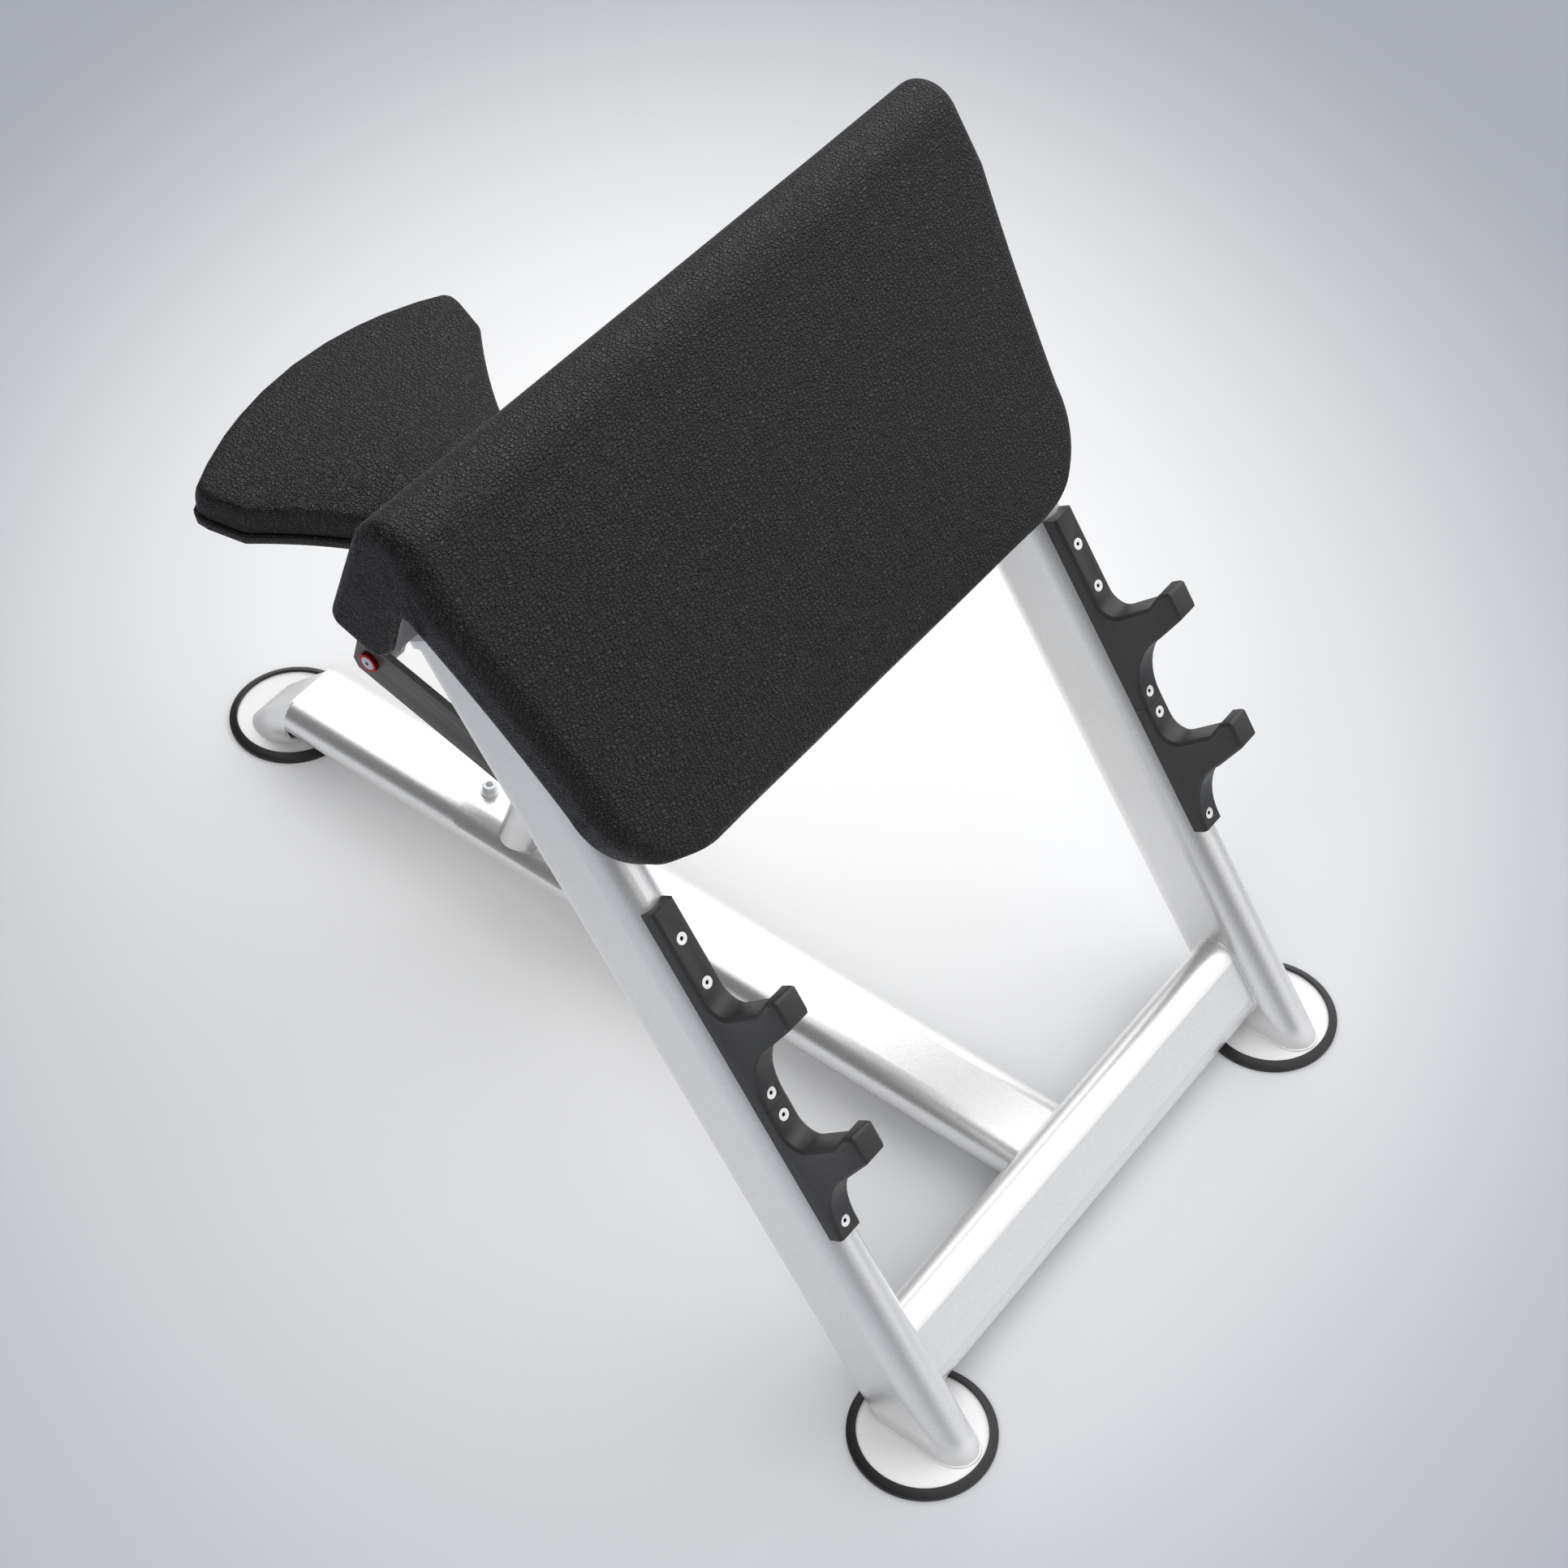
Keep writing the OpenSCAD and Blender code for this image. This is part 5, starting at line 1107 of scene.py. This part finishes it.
# The camera, solved from the photograph: high on the left, looking down across the pad
LENS, SENSOR = 73.47, 36.0
EYE = (-1.696191, -1.390761, 2.776156)
EYE_RIGHT = (0.604426881, -0.796535112, 0.014140763)
EYE_UP = (0.593123345, 0.461782228, 0.659516392)
EYE_BACK = (-0.531857916, -0.390242218, 0.751557162)


class BENCH_OT_stage(bpy.types.Operator):
    """Set the pale floor, the soft studio light and the camera"""

    bl_idname = "bench.stage"
    bl_label = "Stage"

    def execute(self, context):
        scene, look = context.scene, context.scene.bench_stage
        scene.view_settings.view_transform = "Standard"
        floor = bpy.data.meshes.new("floor")
        corners = [(x * FLOOR_HALF, y * FLOOR_HALF, 0) for x, y in ((-1, -1), (1, -1), (1, 1), (-1, 1))]
        floor.from_pydata(corners, [], [(0, 1, 2, 3)])
        floor = loose("floor", floor)
        # Seamless paper sweep: matt, with a painted pool of light: its colour is paler under the bench and
        # darker away from it
        paper, add, place = blank_material("floor_paper_painted_pool")
        shift = add(VECTOR_MATH, {0: place, 1: POOL_CENTRE}, operation="SUBTRACT")
        turned = add("ShaderNodeVectorRotate", {"Vector": shift, "Angle": POOL_TURN},
            rotation_type="Z_AXIS")
        pool = add(VECTOR_MATH, {0: turned, 1: POOL_SHAPE}, operation="MULTIPLY")
        far = add(VECTOR_MATH, {0: pool}, operation="LENGTH")
        share = add(MAP_RANGE, {"Value": far.outputs["Value"], "From Max": look.reach},
                    interpolation_type="SMOOTHSTEP")
        fibre = add(NOISE, {"Vector": place, "Scale": 500.0, "Detail": 2.0})
        # Painted pool of light: the colour fades from the pale middle to the darker edge
        tone = add(MIX, {0: share, 6: look.near, 7: look.far}, data_type="RGBA")
        bump = add(BUMP, {"Height": fibre, "Strength": 0.02, "Distance": 0.0003})
        floor.data.materials.append(finished(paper, add, {
            "Base Color": tone.outputs[2], "Roughness": 0.95, "Specular IOR Level": 0.1, "Normal": bump}))
        # Soft light from above and from the right; the camera itself sees a plain pale tone behind the floor
        world = bpy.data.worlds.new("studio")
        world.use_nodes = True
        world.node_tree.nodes.clear()
        add = partial(add_node, world.node_tree)
        seen = add("ShaderNodeLightPath").outputs["Is Camera Ray"]
        # The dark left and front give round tubes and edges a dark side next to the bright one
        way = add("ShaderNodeTexCoord").outputs["Generated"]
        toward = add(VECTOR_MATH, {0: way, 1: BRIGHT_SIDE}, operation="DOT_PRODUCT")
        bright = add(MAP_RANGE, {"Value": toward.outputs["Value"], "From Min": 0.05, "From Max": 0.7,
            "To Min": 0.08, "To Max": 1.0}, interpolation_type="SMOOTHSTEP")
        level = add(MATH, {0: bright, 1: look.fill}, operation="MULTIPLY")
        fill = add("ShaderNodeBackground", {"Color": linear("#f6f6f6"), "Strength": level})
        plain = add("ShaderNodeBackground", {"Color": linear("#d9dbe0"), "Strength": 1.0})
        both = add("ShaderNodeMixShader", {0: seen, 1: fill, 2: plain})
        add("ShaderNodeOutputWorld", {"Surface": both})
        scene.world = world
        # Only the soft box is seen in reflections, where it gives the tubes their bright streaks
        for name, (spot, width, share, reflected) in LAMPS.items():
            lamp = bpy.data.lights.new(name, "AREA")
            lamp.shape, lamp.size, lamp.energy = "DISK", width, look.top_power * share
            holder = bpy.data.objects.new(name, lamp)
            holder.location = spot
            holder.visible_glossy = reflected
            holder.rotation_euler = (Vector(LAMP_TARGET) - Vector(spot)).to_track_quat("-Z", "Y").to_euler()
            scene.collection.objects.link(holder)
        eye = bpy.data.cameras.new("camera")
        eye.lens, eye.sensor_width = LENS, SENSOR
        camera = bpy.data.objects.new("camera", eye)
        turn = Matrix((EYE_RIGHT, EYE_UP, EYE_BACK)).transposed().to_4x4()
        camera.matrix_world = Matrix.Translation(EYE) @ turn
        scene.collection.objects.link(camera)
        scene.camera = camera
        return {"FINISHED"}


class BENCH_PT_panel(bpy.types.Panel):
    """Lists the bench's steps and their settings"""

    bl_idname = "BENCH_PT_panel"
    bl_label = "Preacher curl bench"
    bl_space_type = "VIEW_3D"
    bl_region_type = "UI"
    bl_category = "Bench"

    def draw(self, context):
        for step in STEPS:
            self.layout.operator(step.bl_idname)
        for name in SETTINGS:
            box = self.layout.box()
            group = getattr(context.scene, name)
            for item in group.bl_rna.properties:
                if item.identifier not in ("rna_type", "name"):
                    box.prop(group, item.identifier)


SETTINGS = {"bench_frame": BenchFrameSizes, "bench_feet": BenchFeetSizes, "bench_screws": BenchScrewSizes,
            "bench_pad": BenchPadSizes, "bench_seat": BenchSeatSizes, "bench_grip": BenchGripSizes,
            "bench_colours": BenchColours, "bench_stage": BenchStageLook}
STEPS = (BENCH_OT_stage, BENCH_OT_frame, BENCH_OT_feet, BENCH_OT_catches, BENCH_OT_arm_pad, BENCH_OT_seat,
         BENCH_OT_linkage, BENCH_OT_carriage)


def register():
    for kind in (*SETTINGS.values(), *STEPS, BENCH_PT_panel):
        bpy.utils.register_class(kind)
    for name, kind in SETTINGS.items():
        setattr(bpy.types.Scene, name, PointerProperty(type=kind))


def unregister():
    for name in SETTINGS:
        delattr(bpy.types.Scene, name)
    for kind in reversed((*SETTINGS.values(), *STEPS, BENCH_PT_panel)):
        bpy.utils.unregister_class(kind)


def main():
    register()
    for step in STEPS:
        area, name = step.bl_idname.split(".")
        getattr(getattr(bpy.ops, area), name)()


if __name__ == "__main__":
    main()
